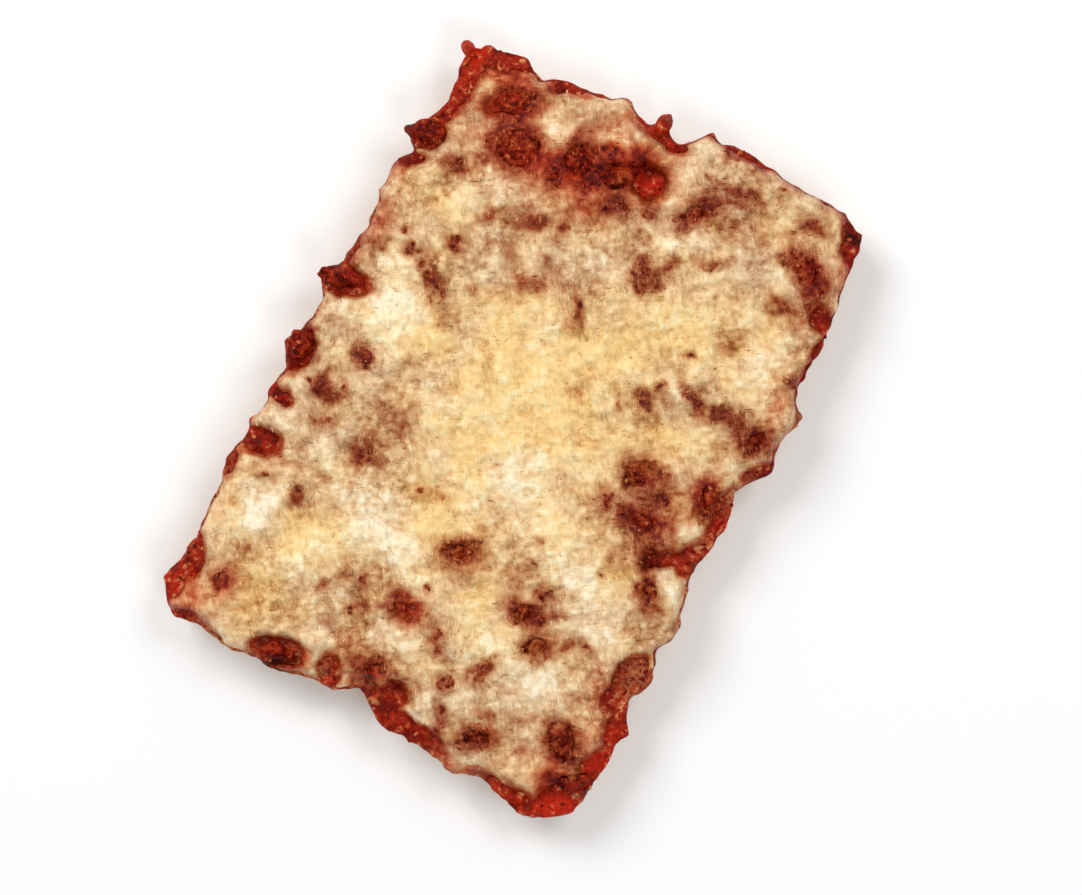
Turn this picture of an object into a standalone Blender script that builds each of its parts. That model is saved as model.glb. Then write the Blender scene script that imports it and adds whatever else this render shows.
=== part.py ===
"""Sheet pan pizza slice: bread crust, tomato sauce, melted cheese and meat crumbles, seen flat on a table.
+X is the short side, +Y the long side, +Z up. Plan sizes are in millimetres and become metres at the end."""
import bmesh
import bpy
import numpy as np

MM = 0.001

# Heights above the table, with a hair's gap between the layers
CRUST_TOP = 10.5
SAUCE_FLOOR = 10.8
SAUCE_TOP = 12.3
CHEESE_FLOOR = 12.6
CHEESE_RIM = 13.4
CHEESE_RISE = 2.3
CRUMBLE_FLOOR = 12.6
CRUMBLE_GAP = 0.55

# The bread's side: height, then how far it is set in from the slice's rim
CRUST_POINTS = 200
CRUST_PROFILE = [(0.0, 2.6), (0.5, 1.5), (2.3, 0.8), (4.6, 0.3), (6.9, 0.1), (9.1, 0.5), (CRUST_TOP, 1.1)]

# Each side: where its line runs, its slope, then its lumps as place along it, reach outwards, half width
SIDES = {
    "left": (-51.0, 0.018, [(57, -3.2, 9), (46.3, 2.0, 2.4), (42, -1.4, 2.0), (36, 0.7, 3), (31, 0.7, 1.5),
                            (24, -0.9, 5), (9, 3.1, 2.7), (-7.5, 2.6, 3.4), (-18, 0.8, 2), (-26.5, 1.1, 2),
                            (-36, 1.6, 4), (-53, -0.8, 5), (-65.5, 1.0, 2.4)]),
    "right": (50.5, 0.0, [(64, -1.8, 8), (44, 0.5, 5), (28.5, 3.2, 3.6), (20, 2.4, 6), (15.5, 2.0, 2.6),
                          (8, -1.6, 2.5), (-11, -1.6, 5), (-24.5, 1.7, 3.4), (-30, -0.5, 1.5),
                          (-36.5, 1.6, 3), (-43, -0.9, 2.2), (-49, 2.0, 2.2), (-56, 1.5, 6), (-66, 0.4, 4)]),
    "top": (72.6, 0.045, [(-37, 0.7, 3), (-30.5, -2.0, 3.5), (-12, 1.7, 2.8), (-5, -1.0, 3), (2.3, -2.9, 2.6),
                          (8, 1.8, 1.4), (16, 2.6, 9), (46, -1.6, 5)]),
    "bottom": (-72.9, -0.02, [(40, 2.0, 6), (29, -0.6, 3), (22, 1.6, 3), (10, -0.3, 5), (-3.5, -4.8, 5.0),
                              (-14, -1.8, 5), (-23.5, 0.4, 2.5), (-34, 0.9, 5), (-47.5, 1.4, 3)]),
}
CORNER = 9.0

# Ovals: centre x, centre y, half length, half width, turn in degrees
RIM_CRUMBS = [(-47.9, 67.3, 1.9, 1.5, 150), (-2.3, 72.4, 2.6, 1.7, 95), (-50.2, 45.6, 1.9, 1.4, 0),
              (53.0, 29.6, 1.3, 1.1, 0)]
CRUMBLES = [
    (-34.0, 61.0, 6.0, 3.2, 40), (-28.0, 53.0, 5.0, 4.5, 70), (-15.0, 56.8, 4.2, 3.8, 80),
    (-6.2, 57.4, 4.2, 3.8, 10), (13.0, 58.0, 4.2, 2.2, 55), (40.0, 58.4, 5.0, 2.3, -35),
    (47.3, 20.0, 2.9, 2.0, 65), (28.2, 2.4, 3.6, 3.0, 80), (45.0, 4.4, 3.8, 2.8, -50),
    (34.0, -6.4, 4.2, 2.1, -5), (38.0, -12.2, 3.6, 1.8, -72), (42.3, -19.4, 3.3, 2.0, -55),
    (1.6, -31.0, 4.0, 2.2, 35), (20.2, -36.6, 3.2, 2.4, -15), (25.6, -41.8, 3.2, 2.6, 50),
    (-4.0, -47.4, 2.8, 2.1, -45), (40.5, -57.3, 4.8, 3.8, -50), (23.6, -65.3, 3.6, 2.2, 25),
    (46.3, -64.0, 4.3, 2.4, 20), (-3.6, -62.0, 3.2, 1.9, 10), (-23.6, -68.9, 4.4, 2.4, 20),
    (-50.4, -7.2, 3.6, 2.9, -70), (-50.0, 9.4, 4.4, 2.4, 10), (-47.6, 47.0, 3.4, 2.8, 30),
]
BARE_SAUCE = [
    (-45.3, 60.0, 10.5, 2.3, 88), (-40.0, 69.0, 7.0, 2.6, 14), (-24.0, 70.3, 4.5, 1.6, 15),
    (-3.0, 70.6, 6.0, 1.7, -8), (2.4, 69.0, 2.2, 1.4, 20), (0.3, 59.6, 3.4, 3.0, 0),
    (15.0, 75.6, 8.0, 1.3, 0), (45.8, 69.0, 4.8, 2.0, -60), (48.0, 50.4, 3.0, 1.6, -40),
    (50.6, 43.0, 4.0, 0.9, 90), (51.6, 14.2, 3.6, 2.0, 50), (48.6, 1.5, 6.0, 1.3, 90),
    (47.3, -8.8, 4.2, 2.6, 80), (43.4, -11.2, 3.4, 1.2, 35), (47.2, -37.3, 4.6, 2.9, 70),
    (47.2, -43.4, 3.0, 2.9, 0), (50.6, -50.0, 5.5, 2.3, -75), (49.6, -60.0, 7.0, 2.3, 85),
    (46.4, -70.0, 5.4, 4.2, 40), (38.0, -73.9, 6.0, 2.5, -5), (29.5, -72.8, 4.0, 1.7, 0),
    (11.0, -70.8, 9.0, 2.6, -12), (3.4, -66.0, 3.0, 3.0, 0), (-2.5, -66.7, 3.6, 1.5, 0),
    (-11.6, -67.0, 3.3, 2.2, -50), (-22.5, -68.8, 6.4, 3.0, 18), (-44.0, -72.2, 6.0, 1.5, 0),
    (-50.6, -67.0, 5.5, 2.0, 75), (-49.6, -58.6, 4.8, 1.9, -62), (-52.2, -37.0, 3.8, 1.5, 90),
    (-48.4, -29.8, 4.0, 2.9, 15), (-49.8, -18.8, 3.0, 1.4, -15), (-51.0, -8.0, 4.8, 3.7, -80),
    (-50.0, 9.6, 5.8, 3.1, 8), (-50.4, 15.0, 2.6, 1.1, 80), (-47.6, 47.0, 4.2, 3.6, 30),
    (-48.3, 40.0, 2.5, 1.4, 25),
]
# Small crumbs fused to the cheese
CRUMBS = [
    (-2, 51, 3, 1.5, 40), (-11, 43, 2.5, 1.5, 90), (-38.5, 43.5, 2.2, 1.8, 0), (3.5, 54, 2, 1.5, 0),
    (18, 66.5, 1.8, 1.4, 0), (28.5, 71.5, 1.4, 1.4, 0), (36.5, 68, 3, 1.5, -20), (38.5, 48.5, 2.2, 1.6, 0),
    (21, 50, 2.5, 1.3, 25), (8, 43, 2, 1.8, 0), (12, 40, 1.8, 1.6, 0), (7.5, 39, 2, 1.6, 60),
    (13.5, 45, 1.6, 1.6, 0), (-17, 39.5, 2, 1.6, 45), (-30.3, 27.8, 1.7, 1.7, 0), (-12, 27.5, 2.2, 1.6, 0),
    (-37.5, 23, 1.5, 1.2, 0), (-30.5, 18, 5.5, 1.3, -45), (-44.5, 20, 1.6, 1.5, 0), (-0.5, 28.5, 2.4, 1.3, -50),
    (1.5, 23.5, 1.6, 1.4, 0), (33, 35.5, 1.8, 1.2, -60), (48, 35.3, 2.2, 1.4, 50), (32.5, 21.5, 2.4, 1.4, -40),
    (22, 17, 1.9, 1.6, 0), (40.5, 22.3, 2.6, 1.4, 15), (34.5, 0.5, 2, 1.6, 0), (25.7, -6.3, 2, 1.4, -60),
    (26.3, -33.7, 2, 1.2, 20), (36, -37.3, 2.3, 1.2, -15), (22.5, -30.5, 1.8, 1.3, -60),
    (5.5, -49, 2, 1.4, -55), (17.5, -52, 3, 1.3, 60), (12, -58, 1.8, 1.5, -30), (-41.5, -60.5, 2.4, 1.9, 0),
    (-44, -35.5, 2.2, 1.2, 15), (-35.7, -37, 1.6, 1.5, 0), (-40.5, -12.8, 3.5, 2.5, 30),
    (-38.5, -19.2, 2, 1.1, 15), (-24, -10.5, 3.4, 3, 0), (-27, -23.5, 2, 1.2, -60), (-37.5, -3.5, 2.5, 1.4, -50),
    (31, -50, 4, 3, 0), (-28, 43, 4, 3, 30), (-34, -27, 4, 3, 20), (-43, -42, 4, 3, 0), (26, -22, 5, 3, 20),
]


def soft_min(a, b, width):
    mix = np.clip(1 - np.abs(a - b) / width, 0, 1)
    return np.minimum(a, b) - mix * mix * width / 4


def waves(x, y, size, seed):
    """Smooth noise from -1 to 1 whose lumps are about size across."""
    lattice = np.random.default_rng(seed).uniform(-1, 1, (257, 257))
    u = x / size + 128
    v = y / size + 128
    i = np.floor(u).astype(int) % 256
    j = np.floor(v).astype(int) % 256
    s = u - np.floor(u)
    t = v - np.floor(v)
    s = s * s * (3 - 2 * s)
    t = t * t * (3 - 2 * t)
    low = lattice[i, j] * (1 - s) + lattice[i + 1, j] * s
    high = lattice[i, j + 1] * (1 - s) + lattice[i + 1, j + 1] * s
    return low * (1 - t) + high * t


def side_line(name, place, drips):
    """Where a side runs. The narrow lumps are drips of sauce and cheese, which the bread has less of."""
    line, slope, lumps = SIDES[name]
    outwards = -1 if name in ("left", "bottom") else 1
    bulge = 0
    for at, reach, half in lumps:
        share = drips if reach > 0 and half < 3 else 1
        bulge = bulge + share * reach * np.exp(-(((place - at) / half) ** 2))
    return line + slope * place + outwards * bulge


def outside_oval(x, y, spot):
    """Millimetres outside an oval, negative inside it."""
    at_x, at_y, half_length, half_width, turn = spot
    c = np.cos(np.radians(turn))
    s = np.sin(np.radians(turn))
    u = (x - at_x) * c + (y - at_y) * s
    v = (y - at_y) * c - (x - at_x) * s
    return (np.hypot(u / half_length, v / half_width) - 1) * min(half_length, half_width)


def inside_sides(x, y, drips=1.0):
    across = np.minimum(x - side_line("left", y, drips), side_line("right", y, drips) - x)
    along = np.minimum(side_line("top", x, drips) - y, y - side_line("bottom", x, drips))
    return soft_min(across, along, CORNER) + 0.25 * waves(x, y, 2.2, 3)


def sauce_cover(x, y):
    """Millimetres inside the sauce's rim, with the crumbs stuck to it."""
    depth = inside_sides(x, y)
    for spot in RIM_CRUMBS:
        depth = np.maximum(depth, -outside_oval(x, y, spot))
    return depth


def cheese_rim(x, y):
    """Millimetres inside the melted sheet of cheese, which leaves out the bare sauce."""
    wobble = 0.5 * waves(x, y, 2.6, 5) + 0.25 * waves(x, y, 1.6, 6)
    cover = inside_sides(x, y) - 0.9 + wobble
    for spot in BARE_SAUCE:
        cover = soft_min(cover, outside_oval(x, y, spot) + wobble, 0.8)
    return cover


def cheese_cover(x, y):
    """The same with holes that fit round the crumbles."""
    cover = cheese_rim(x, y)
    wobble = 0.2 * waves(x, y, 2.6, 5)
    for spot in CRUMBLES + RIM_CRUMBS:
        cover = soft_min(cover, outside_oval(x, y, spot) + wobble - CRUMBLE_GAP, 0.8)
    return cover


def sauce_top(x, y):
    depth = np.clip(sauce_cover(x, y) / 1.6, 0, 1)
    height = SAUCE_TOP - 0.8 + 0.45 * np.sqrt(depth) + 0.25 * waves(x, y, 3.1, 11)
    for spot in RIM_CRUMBS:
        height = np.maximum(height, SAUCE_TOP - 0.1 - 1.4 * outside_oval(x, y, spot))
    return height


def cheese_top(x, y):
    rise = np.minimum(np.clip(cheese_rim(x, y) / 3.0, 0, 1), 0.4 + np.clip(cheese_cover(x, y) / 1.8, 0, 1))
    rise = rise * (2 - rise)
    lumps = 0.75 * waves(x, y, 11, 21) + 0.5 * waves(x, y, 5, 22) + 0.3 * waves(x, y, 2.4, 23)
    height = CHEESE_RIM + rise * (CHEESE_RISE + lumps)
    for spot in CRUMBS:
        crest = np.clip(-outside_oval(x, y, spot) / min(spot[2], spot[3]), 0, 1)
        height = height + 0.9 * rise * np.sqrt(crest) * (0.7 + 0.3 * waves(x, y, 1.2, 24))
    return height


def add_object(name, bm, material):
    """Puts a bmesh in millimetres into the slice's collection as a named object in metres."""
    bmesh.ops.scale(bm, vec=(MM, MM, MM), verts=bm.verts)
    mesh = bpy.data.meshes.new(name)
    bm.to_mesh(mesh)
    bm.free()
    mesh.materials.append(material)
    thing = bpy.data.objects.new(name, mesh)
    bpy.data.collections["pizza_slice"].objects.link(thing)
    return thing


def plan_of(verts):
    points = np.array([v.co[:] for v in verts])
    return points[:, 0], points[:, 1]


def keep_biggest_island(bm):
    waiting = set(bm.faces)
    islands = []
    while waiting:
        queue = [waiting.pop()]
        island = list(queue)
        while queue:
            for edge in queue.pop().edges:
                for face in edge.link_faces:
                    if face in waiting:
                        waiting.remove(face)
                        island.append(face)
                        queue.append(face)
        islands.append(island)
    islands.sort(key=len)
    small = [face for island in islands[:-1] for face in island]
    bmesh.ops.delete(bm, geom=small, context="FACES")


def pinched_faces(bm):
    """One of each two faces that meet only at a corner, where the wall would pinch."""
    found = set()
    for v in bm.verts:
        faces = list(v.link_faces)
        if len(faces) == 2 and not set(faces[0].edges) & set(faces[1].edges):
            found.add(faces[0])
    return list(found)


def fit_to_rim(verts, cover, most):
    """Slides the verts of an edge onto the line where cover is zero, by at most this distance each way."""
    start_x, start_y = plan_of(verts)
    x, y = start_x.copy(), start_y.copy()
    for _ in range(5):
        here = cover(x, y)
        slope_x = (cover(x + 0.1, y) - here) / 0.1
        slope_y = (cover(x, y + 0.1) - here) / 0.1
        step = 0.7 * here / np.maximum(slope_x ** 2 + slope_y ** 2, 0.3)
        x = np.clip(x - step * slope_x, start_x - most, start_x + most)
        y = np.clip(y - step * slope_y, start_y - most, start_y + most)
    for v, new_x, new_y in zip(verts, x, y):
        v.co.x = new_x
        v.co.y = new_y


def layer(name, cover, top, floor, pitch, triangles, material):
    """A slab over every place where cover is positive, flat below at floor and shaped above by top."""
    bm = bmesh.new()
    half_x, half_y = 60, 82
    bmesh.ops.create_grid(bm, x_segments=round(2 * half_x / pitch), y_segments=round(2 * half_y / pitch), size=1)
    bmesh.ops.scale(bm, vec=(half_x, half_y, 1), verts=bm.verts)
    faces = list(bm.faces)
    centres = np.array([face.calc_center_median()[:] for face in faces])
    off = cover(centres[:, 0], centres[:, 1]) <= 0
    bmesh.ops.delete(bm, geom=[face for face, gone in zip(faces, off) if gone], context="FACES")
    keep_biggest_island(bm)
    while pinched_faces(bm):
        bmesh.ops.delete(bm, geom=pinched_faces(bm), context="FACES")
        keep_biggest_island(bm)
    fit_to_rim([v for v in bm.verts if v.is_boundary], cover, 0.45 * pitch)

    lower = list(bm.verts)
    for v in lower:
        v.co.z = floor
    raised = bmesh.ops.extrude_face_region(bm, geom=list(bm.faces), use_keep_orig=True)["geom"]
    upper = [item for item in raised if isinstance(item, bmesh.types.BMVert)]
    heights = np.maximum(top(*plan_of(upper)), floor + 0.5)
    for v, height in zip(upper, heights):
        v.co.z = height
    bmesh.ops.recalc_face_normals(bm, faces=bm.faces)
    share = triangles / (2 * len(bm.faces))
    thing = add_object(name, bm, material)
    fewer = thing.modifiers.new("fewer", "DECIMATE")
    fewer.ratio = share
    apply_modifiers(thing)
    return thing


def apply_modifiers(thing):
    depsgraph = bpy.context.evaluated_depsgraph_get()
    mesh = bpy.data.meshes.new_from_object(thing.evaluated_get(depsgraph))
    thing.modifiers.clear()
    thing.data = mesh


def crust(material):
    """The bread: the slice's rim lofted up in rings, set in at the foot and bulging at mid height."""
    bm = bmesh.new()
    ring = bmesh.ops.create_circle(bm, segments=CRUST_POINTS, radius=1)["verts"]
    walk = np.arange(CRUST_POINTS) / CRUST_POINTS * 4 * (50 + 72)
    aim_x = np.interp(walk, [0, 144, 244, 388, 488], [50, 50, -50, -50, 50])
    aim_y = np.interp(walk, [0, 144, 244, 388, 488], [-72, 72, 72, -72, -72])
    length = np.hypot(aim_x, aim_y)
    aim_x, aim_y = aim_x / length, aim_y / length
    reach = np.arange(30, 98, 0.05)[:, None]
    depth = inside_sides(aim_x * reach, aim_y * reach, 0.35)
    edges = list({edge for v in ring for edge in v.link_edges})
    for level, (height, inset) in enumerate(CRUST_PROFILE):
        if level:
            raised = bmesh.ops.extrude_edge_only(bm, edges=edges)["geom"]
            edges = [item for item in raised if isinstance(item, bmesh.types.BMEdge)]
            partner = {}
            for v in [item for item in raised if isinstance(item, bmesh.types.BMVert)]:
                for edge in v.link_edges:
                    other = edge.other_vert(v)
                    if other in place:
                        partner[place[other]] = v
            ring = [partner[k] for k in range(CRUST_POINTS)]
        place = {v: k for k, v in enumerate(ring)}
        flat = level in (0, len(CRUST_PROFILE) - 1)
        rough = 0 if flat else 0.45 * waves(walk, np.full(walk.shape, height * 3), 3.4, 31)
        outermost = np.where(depth > 0.6 + inset + rough, reach, 0).max(axis=0)
        for v, x, y in zip(ring, aim_x * outermost, aim_y * outermost):
            v.co = (x, y, height)
    bmesh.ops.holes_fill(bm, edges=[edge for edge in bm.edges if edge.is_boundary], sides=0)
    bmesh.ops.recalc_face_normals(bm, faces=bm.faces)
    return add_object("crust", bm, material)


def crumble(number, spot, material):
    """A ragged lump of browned meat, flat below, that stays within its oval."""
    at_x, at_y, half_length, half_width, turn = spot
    tall = 1.6 + 0.55 * half_width
    bm = bmesh.new()
    bmesh.ops.create_icosphere(bm, subdivisions=2, radius=1)
    points = np.array([v.co[:] for v in bm.verts])
    rough = waves(points[:, 0] + 3 * points[:, 2], points[:, 1] - 2 * points[:, 2], 0.55, 100 + number)
    for v, share in zip(bm.verts, 0.87 + 0.13 * rough):
        height = max(v.co.z * share + 0.55, 0) / 1.55
        foot = 1 if height > 0 else 0.9
        v.co = (v.co.x * share * foot * half_length, v.co.y * share * foot * half_width, height * tall)
    lump = add_object(f"crumble_{number:02d}", bm, material)
    lump.location = (at_x * MM, at_y * MM, CRUMBLE_FLOOR * MM)
    lump.rotation_euler.z = np.radians(turn)
    return lump


def new_material(name, colour, roughness):
    material = bpy.data.materials.new(name)
    material.use_nodes = True
    shader = material.node_tree.nodes["Principled BSDF"]
    shader.inputs["Base Color"].default_value = (*colour, 1)
    shader.inputs["Roughness"].default_value = roughness
    shader.inputs["Metallic"].default_value = 0
    return material


def centre(things, whole):
    """Moves the whole slice so that the box round it is centred over the origin."""
    bpy.context.view_layer.update()
    points = np.array([(thing.matrix_world @ v.co)[:] for thing in things for v in thing.data.vertices])
    low, high = points.min(axis=0), points.max(axis=0)
    whole.location = (-(low[0] + high[0]) / 2, -(low[1] + high[1]) / 2, -low[2])


def main():
    for thing in list(bpy.data.objects):
        bpy.data.objects.remove(thing)
    group = bpy.data.collections.new("pizza_slice")
    bpy.context.scene.collection.children.link(group)
    bread = new_material("baked bread", (0.55, 0.28, 0.09), 0.8)
    tomato = new_material("tomato sauce", (0.30, 0.02, 0.01), 0.35)
    melted = new_material("melted cheese", (0.85, 0.66, 0.36), 0.4)
    meat = new_material("browned meat", (0.09, 0.012, 0.008), 0.5)
    things = [
        crust(bread),
        layer("sauce", sauce_cover, sauce_top, SAUCE_FLOOR, 1.35, 2300, tomato),
        layer("cheese", cheese_cover, cheese_top, CHEESE_FLOOR, 1.15, 6300, melted),
    ]
    for number, spot in enumerate(CRUMBLES, 1):
        things.append(crumble(number, spot, meat))
    whole = bpy.data.objects.new("pizza_slice", None)
    group.objects.link(whole)
    for thing in things:
        thing.parent = whole
    centre(things, whole)


main()
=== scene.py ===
"""Looks of a sheet pan pizza slice: bread, tomato sauce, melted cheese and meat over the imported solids.
The plan is in millimetres: +X across the slice, +Y along it, from above. Object coordinates are metres."""
import math
import bmesh
import bpy
import numpy as np
from mathutils import Euler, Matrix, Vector, noise


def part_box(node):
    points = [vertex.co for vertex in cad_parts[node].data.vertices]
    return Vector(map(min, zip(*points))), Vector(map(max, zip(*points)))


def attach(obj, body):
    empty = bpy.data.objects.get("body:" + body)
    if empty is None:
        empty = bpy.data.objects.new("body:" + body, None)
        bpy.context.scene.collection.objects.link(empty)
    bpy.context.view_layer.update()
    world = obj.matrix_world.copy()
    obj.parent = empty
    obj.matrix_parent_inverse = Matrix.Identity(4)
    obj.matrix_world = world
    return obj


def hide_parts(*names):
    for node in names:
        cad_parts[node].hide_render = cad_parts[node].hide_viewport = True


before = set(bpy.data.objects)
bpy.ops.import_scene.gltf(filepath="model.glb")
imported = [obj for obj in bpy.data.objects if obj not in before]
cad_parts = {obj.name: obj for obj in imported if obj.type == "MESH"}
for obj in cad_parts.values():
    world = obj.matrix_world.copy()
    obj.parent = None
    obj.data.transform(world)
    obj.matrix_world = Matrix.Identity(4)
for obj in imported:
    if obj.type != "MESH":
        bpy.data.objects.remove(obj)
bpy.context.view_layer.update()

MM = 0.001

# The photograph: its width in pixels, its scale, its turn in degrees and the plan's point in its middle
PHOTO_WIDTH = 1082
PHOTO_PIXELS_PER_MM = 4.58
PHOTO_TURN = 27.75
PHOTO_MIDDLE = (6.717, -2.543, 14.0)

# Heights above the table
CRUST_TOP = 10.5
SAUCE_TOP = 12.3
CHEESE_RIM = 13.4
CHEESE_RISE = 2.3
CRUMBLE_FLOOR = 12.6
CRUMBLE_LAP = 1.0
SAUCE_SKIRT = 10.2
CHEESE_SKIRT = 11.7

# Strewn bits that lie turned every way
EVERY_WAY = {"Turn": 0.0, "Turn_Spread": 3.1}

# How far the plan's grids reach from the middle, their pitch, and the triangles that are left of them
REACH_X = 58
REACH_Y = 80
CHEESE_PITCH = 0.45
SAUCE_PITCH = 0.5
CHEESE_TRIANGLES = 190000
SAUCE_TRIANGLES = 110000
SHARP_EDGE = math.radians(65)

# The melted shreds: how many, and the grid that keeps their heights and tones
SHREDS = 1500
SHRED_PITCH = 0.25
SHEET_X = 60
SHEET_Y = 82

# The bread: points round it, levels up its side, rings across its underside, half width and half length
BREAD_STEPS = 1000
BREAD_LEVELS = 25
FOOT_RINGS = 44
HALF_WIDTH = 50
HALF_LENGTH = 72

# The bread's side: height, then how far it is set in from the slice's rim
CRUST_PROFILE = [(0.0, 2.6), (0.5, 1.5), (2.3, 0.8), (4.6, 0.3), (6.9, 0.1), (9.1, 0.5), (CRUST_TOP, 1.1)]

# Each side: where its line runs, its slope, then its lumps as place along it, reach outwards, half width
SIDES = {
    "left": (-51.0, 0.018, [(57, -3.2, 9), (46.3, 2.0, 2.4), (42, -1.4, 2.0), (36, 0.7, 3), (31, 0.7, 1.5),
                            (24, -0.9, 5), (9, 3.1, 2.7), (-7.5, 2.6, 3.4), (-18, 0.8, 2), (-26.5, 1.1, 2),
                            (-36, 1.6, 4), (-53, -0.8, 5), (-65.5, 1.0, 2.4)]),
    "right": (50.5, 0.0, [(64, -1.8, 8), (44, 0.5, 5), (28.5, 3.2, 3.6), (20, 2.4, 6), (15.5, 2.0, 2.6),
                          (8, -1.6, 2.5), (-11, -1.6, 5), (-24.5, 1.7, 3.4), (-30, -0.5, 1.5),
                          (-36.5, 1.6, 3), (-43, -0.9, 2.2), (-49, 2.0, 2.2), (-56, 1.5, 6),
                          (-66, 0.4, 4)]),
    "top": (72.6, 0.045, [(-37, 0.7, 3), (-30.5, -2.0, 3.5), (-12, 1.7, 2.8), (-5, -1.0, 3),
                          (2.3, -2.9, 2.6), (8, 1.8, 1.4), (16, 2.6, 9), (46, -1.6, 5)]),
    "bottom": (-72.9, -0.02, [(40, 2.0, 6), (29, -0.6, 3), (22, 1.6, 3), (10, -0.3, 5), (-3.5, -4.8, 5.0),
                              (-14, -1.8, 5), (-23.5, 0.4, 2.5), (-34, 0.9, 5), (-47.5, 1.4, 3)]),
}
CORNER = 9.0


def graded(groups):
    """Ovals from groups of the same strength, which is their sixth number. A turn left out is 0."""
    return [(*oval, *(0,) * (5 - len(oval)), strength)
            for strength, ovals in groups.items() for oval in ovals]


# Ovals: centre x, centre y, half length, half width, turn in degrees
RIM_CRUMBS = [
    (-47.9, 67.3, 1.9, 1.5, 150), (-2.3, 72.4, 2.6, 1.7, 95), (-50.2, 45.6, 1.9, 1.4, 0),
    (53, 29.6, 1.3, 1.1, 0),
]
CRUMBLES = [
    (-34, 61, 6, 3.2, 40), (-28, 53, 5, 4.5, 70), (-15, 56.8, 4.2, 3.8, 80), (-6.2, 57.4, 4.2, 3.8, 10),
    (13, 58, 4.2, 2.2, 55), (40, 58.4, 5, 2.3, -35), (47.3, 20, 2.9, 2, 65), (28.2, 2.4, 3.6, 3, 80),
    (45, 4.4, 3.8, 2.8, -50), (34, -6.4, 4.2, 2.1, -5), (38, -12.2, 3.6, 1.8, -72),
    (42.3, -19.4, 3.3, 2, -55), (1.6, -31, 4, 2.2, 35), (20.2, -36.6, 3.2, 2.4, -15),
    (25.6, -41.8, 3.2, 2.6, 50), (-4, -47.4, 2.8, 2.1, -45), (40.5, -57.3, 4.8, 3.8, -50),
    (23.6, -65.3, 3.6, 2.2, 25), (46.3, -64, 4.3, 2.4, 20), (-3.6, -62, 3.2, 1.9, 10),
    (-23.6, -68.9, 4.4, 2.4, 20), (-50.4, -7.2, 3.6, 2.9, -70), (-50, 9.4, 4.4, 2.4, 10),
    (-47.6, 47, 3.4, 2.8, 30),
]
BARE_SAUCE = [
    (-45.3, 60, 10.5, 2.3, 88), (-40, 69, 7, 2.6, 14), (-24, 70.3, 4.5, 1.6, 15), (-3, 70.6, 6, 1.7, -8),
    (2.4, 69, 2.2, 1.4, 20), (0.3, 59.6, 3.4, 3, 0), (15, 75.6, 8, 1.3, 0), (45.8, 69, 4.8, 2, -60),
    (48, 50.4, 3, 1.6, -40), (50.6, 43, 4, 0.9, 90), (51.6, 14.2, 3.6, 2, 50), (48.6, 1.5, 6, 1.3, 90),
    (47.3, -8.8, 4.2, 2.6, 80), (43.4, -11.2, 3.4, 1.2, 35), (47.2, -37.3, 4.6, 2.9, 70),
    (47.2, -43.4, 3, 2.9, 0), (50.6, -50, 5.5, 2.3, -75), (49.6, -60, 7, 2.3, 85),
    (46.4, -70, 5.4, 4.2, 40), (38, -73.9, 6, 2.5, -5), (29.5, -72.8, 4, 1.7, 0),
    (11, -70.8, 9, 2.6, -12), (3.4, -66, 3, 3, 0), (-2.5, -66.7, 3.6, 1.5, 0),
    (-11.6, -67, 3.3, 2.2, -50), (-23.2, -68.9, 5.6, 2.9, 20), (-44, -72.2, 6, 1.5, 0),
    (-50.6, -67, 5.5, 2, 75), (-49.6, -58.6, 4.8, 1.9, -62), (-52.2, -37, 3.8, 1.5, 90),
    (-48.4, -29.8, 4, 2.9, 15), (-49.8, -18.8, 3, 1.4, -15), (-51, -8, 4.8, 3.7, -80),
    (-50, 9.6, 5.8, 3.1, 8), (-50.4, 15, 2.6, 1.1, 80), (-47.6, 47, 4.2, 3.6, 30),
    (-48.3, 40, 2.5, 1.4, 25), (-52, -63, 3.5, 1.6, 80), (51.5, -37, 3.5, 1.5, 85),
    (3.5, -71.8, 6, 1.8, -28),
]
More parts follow.
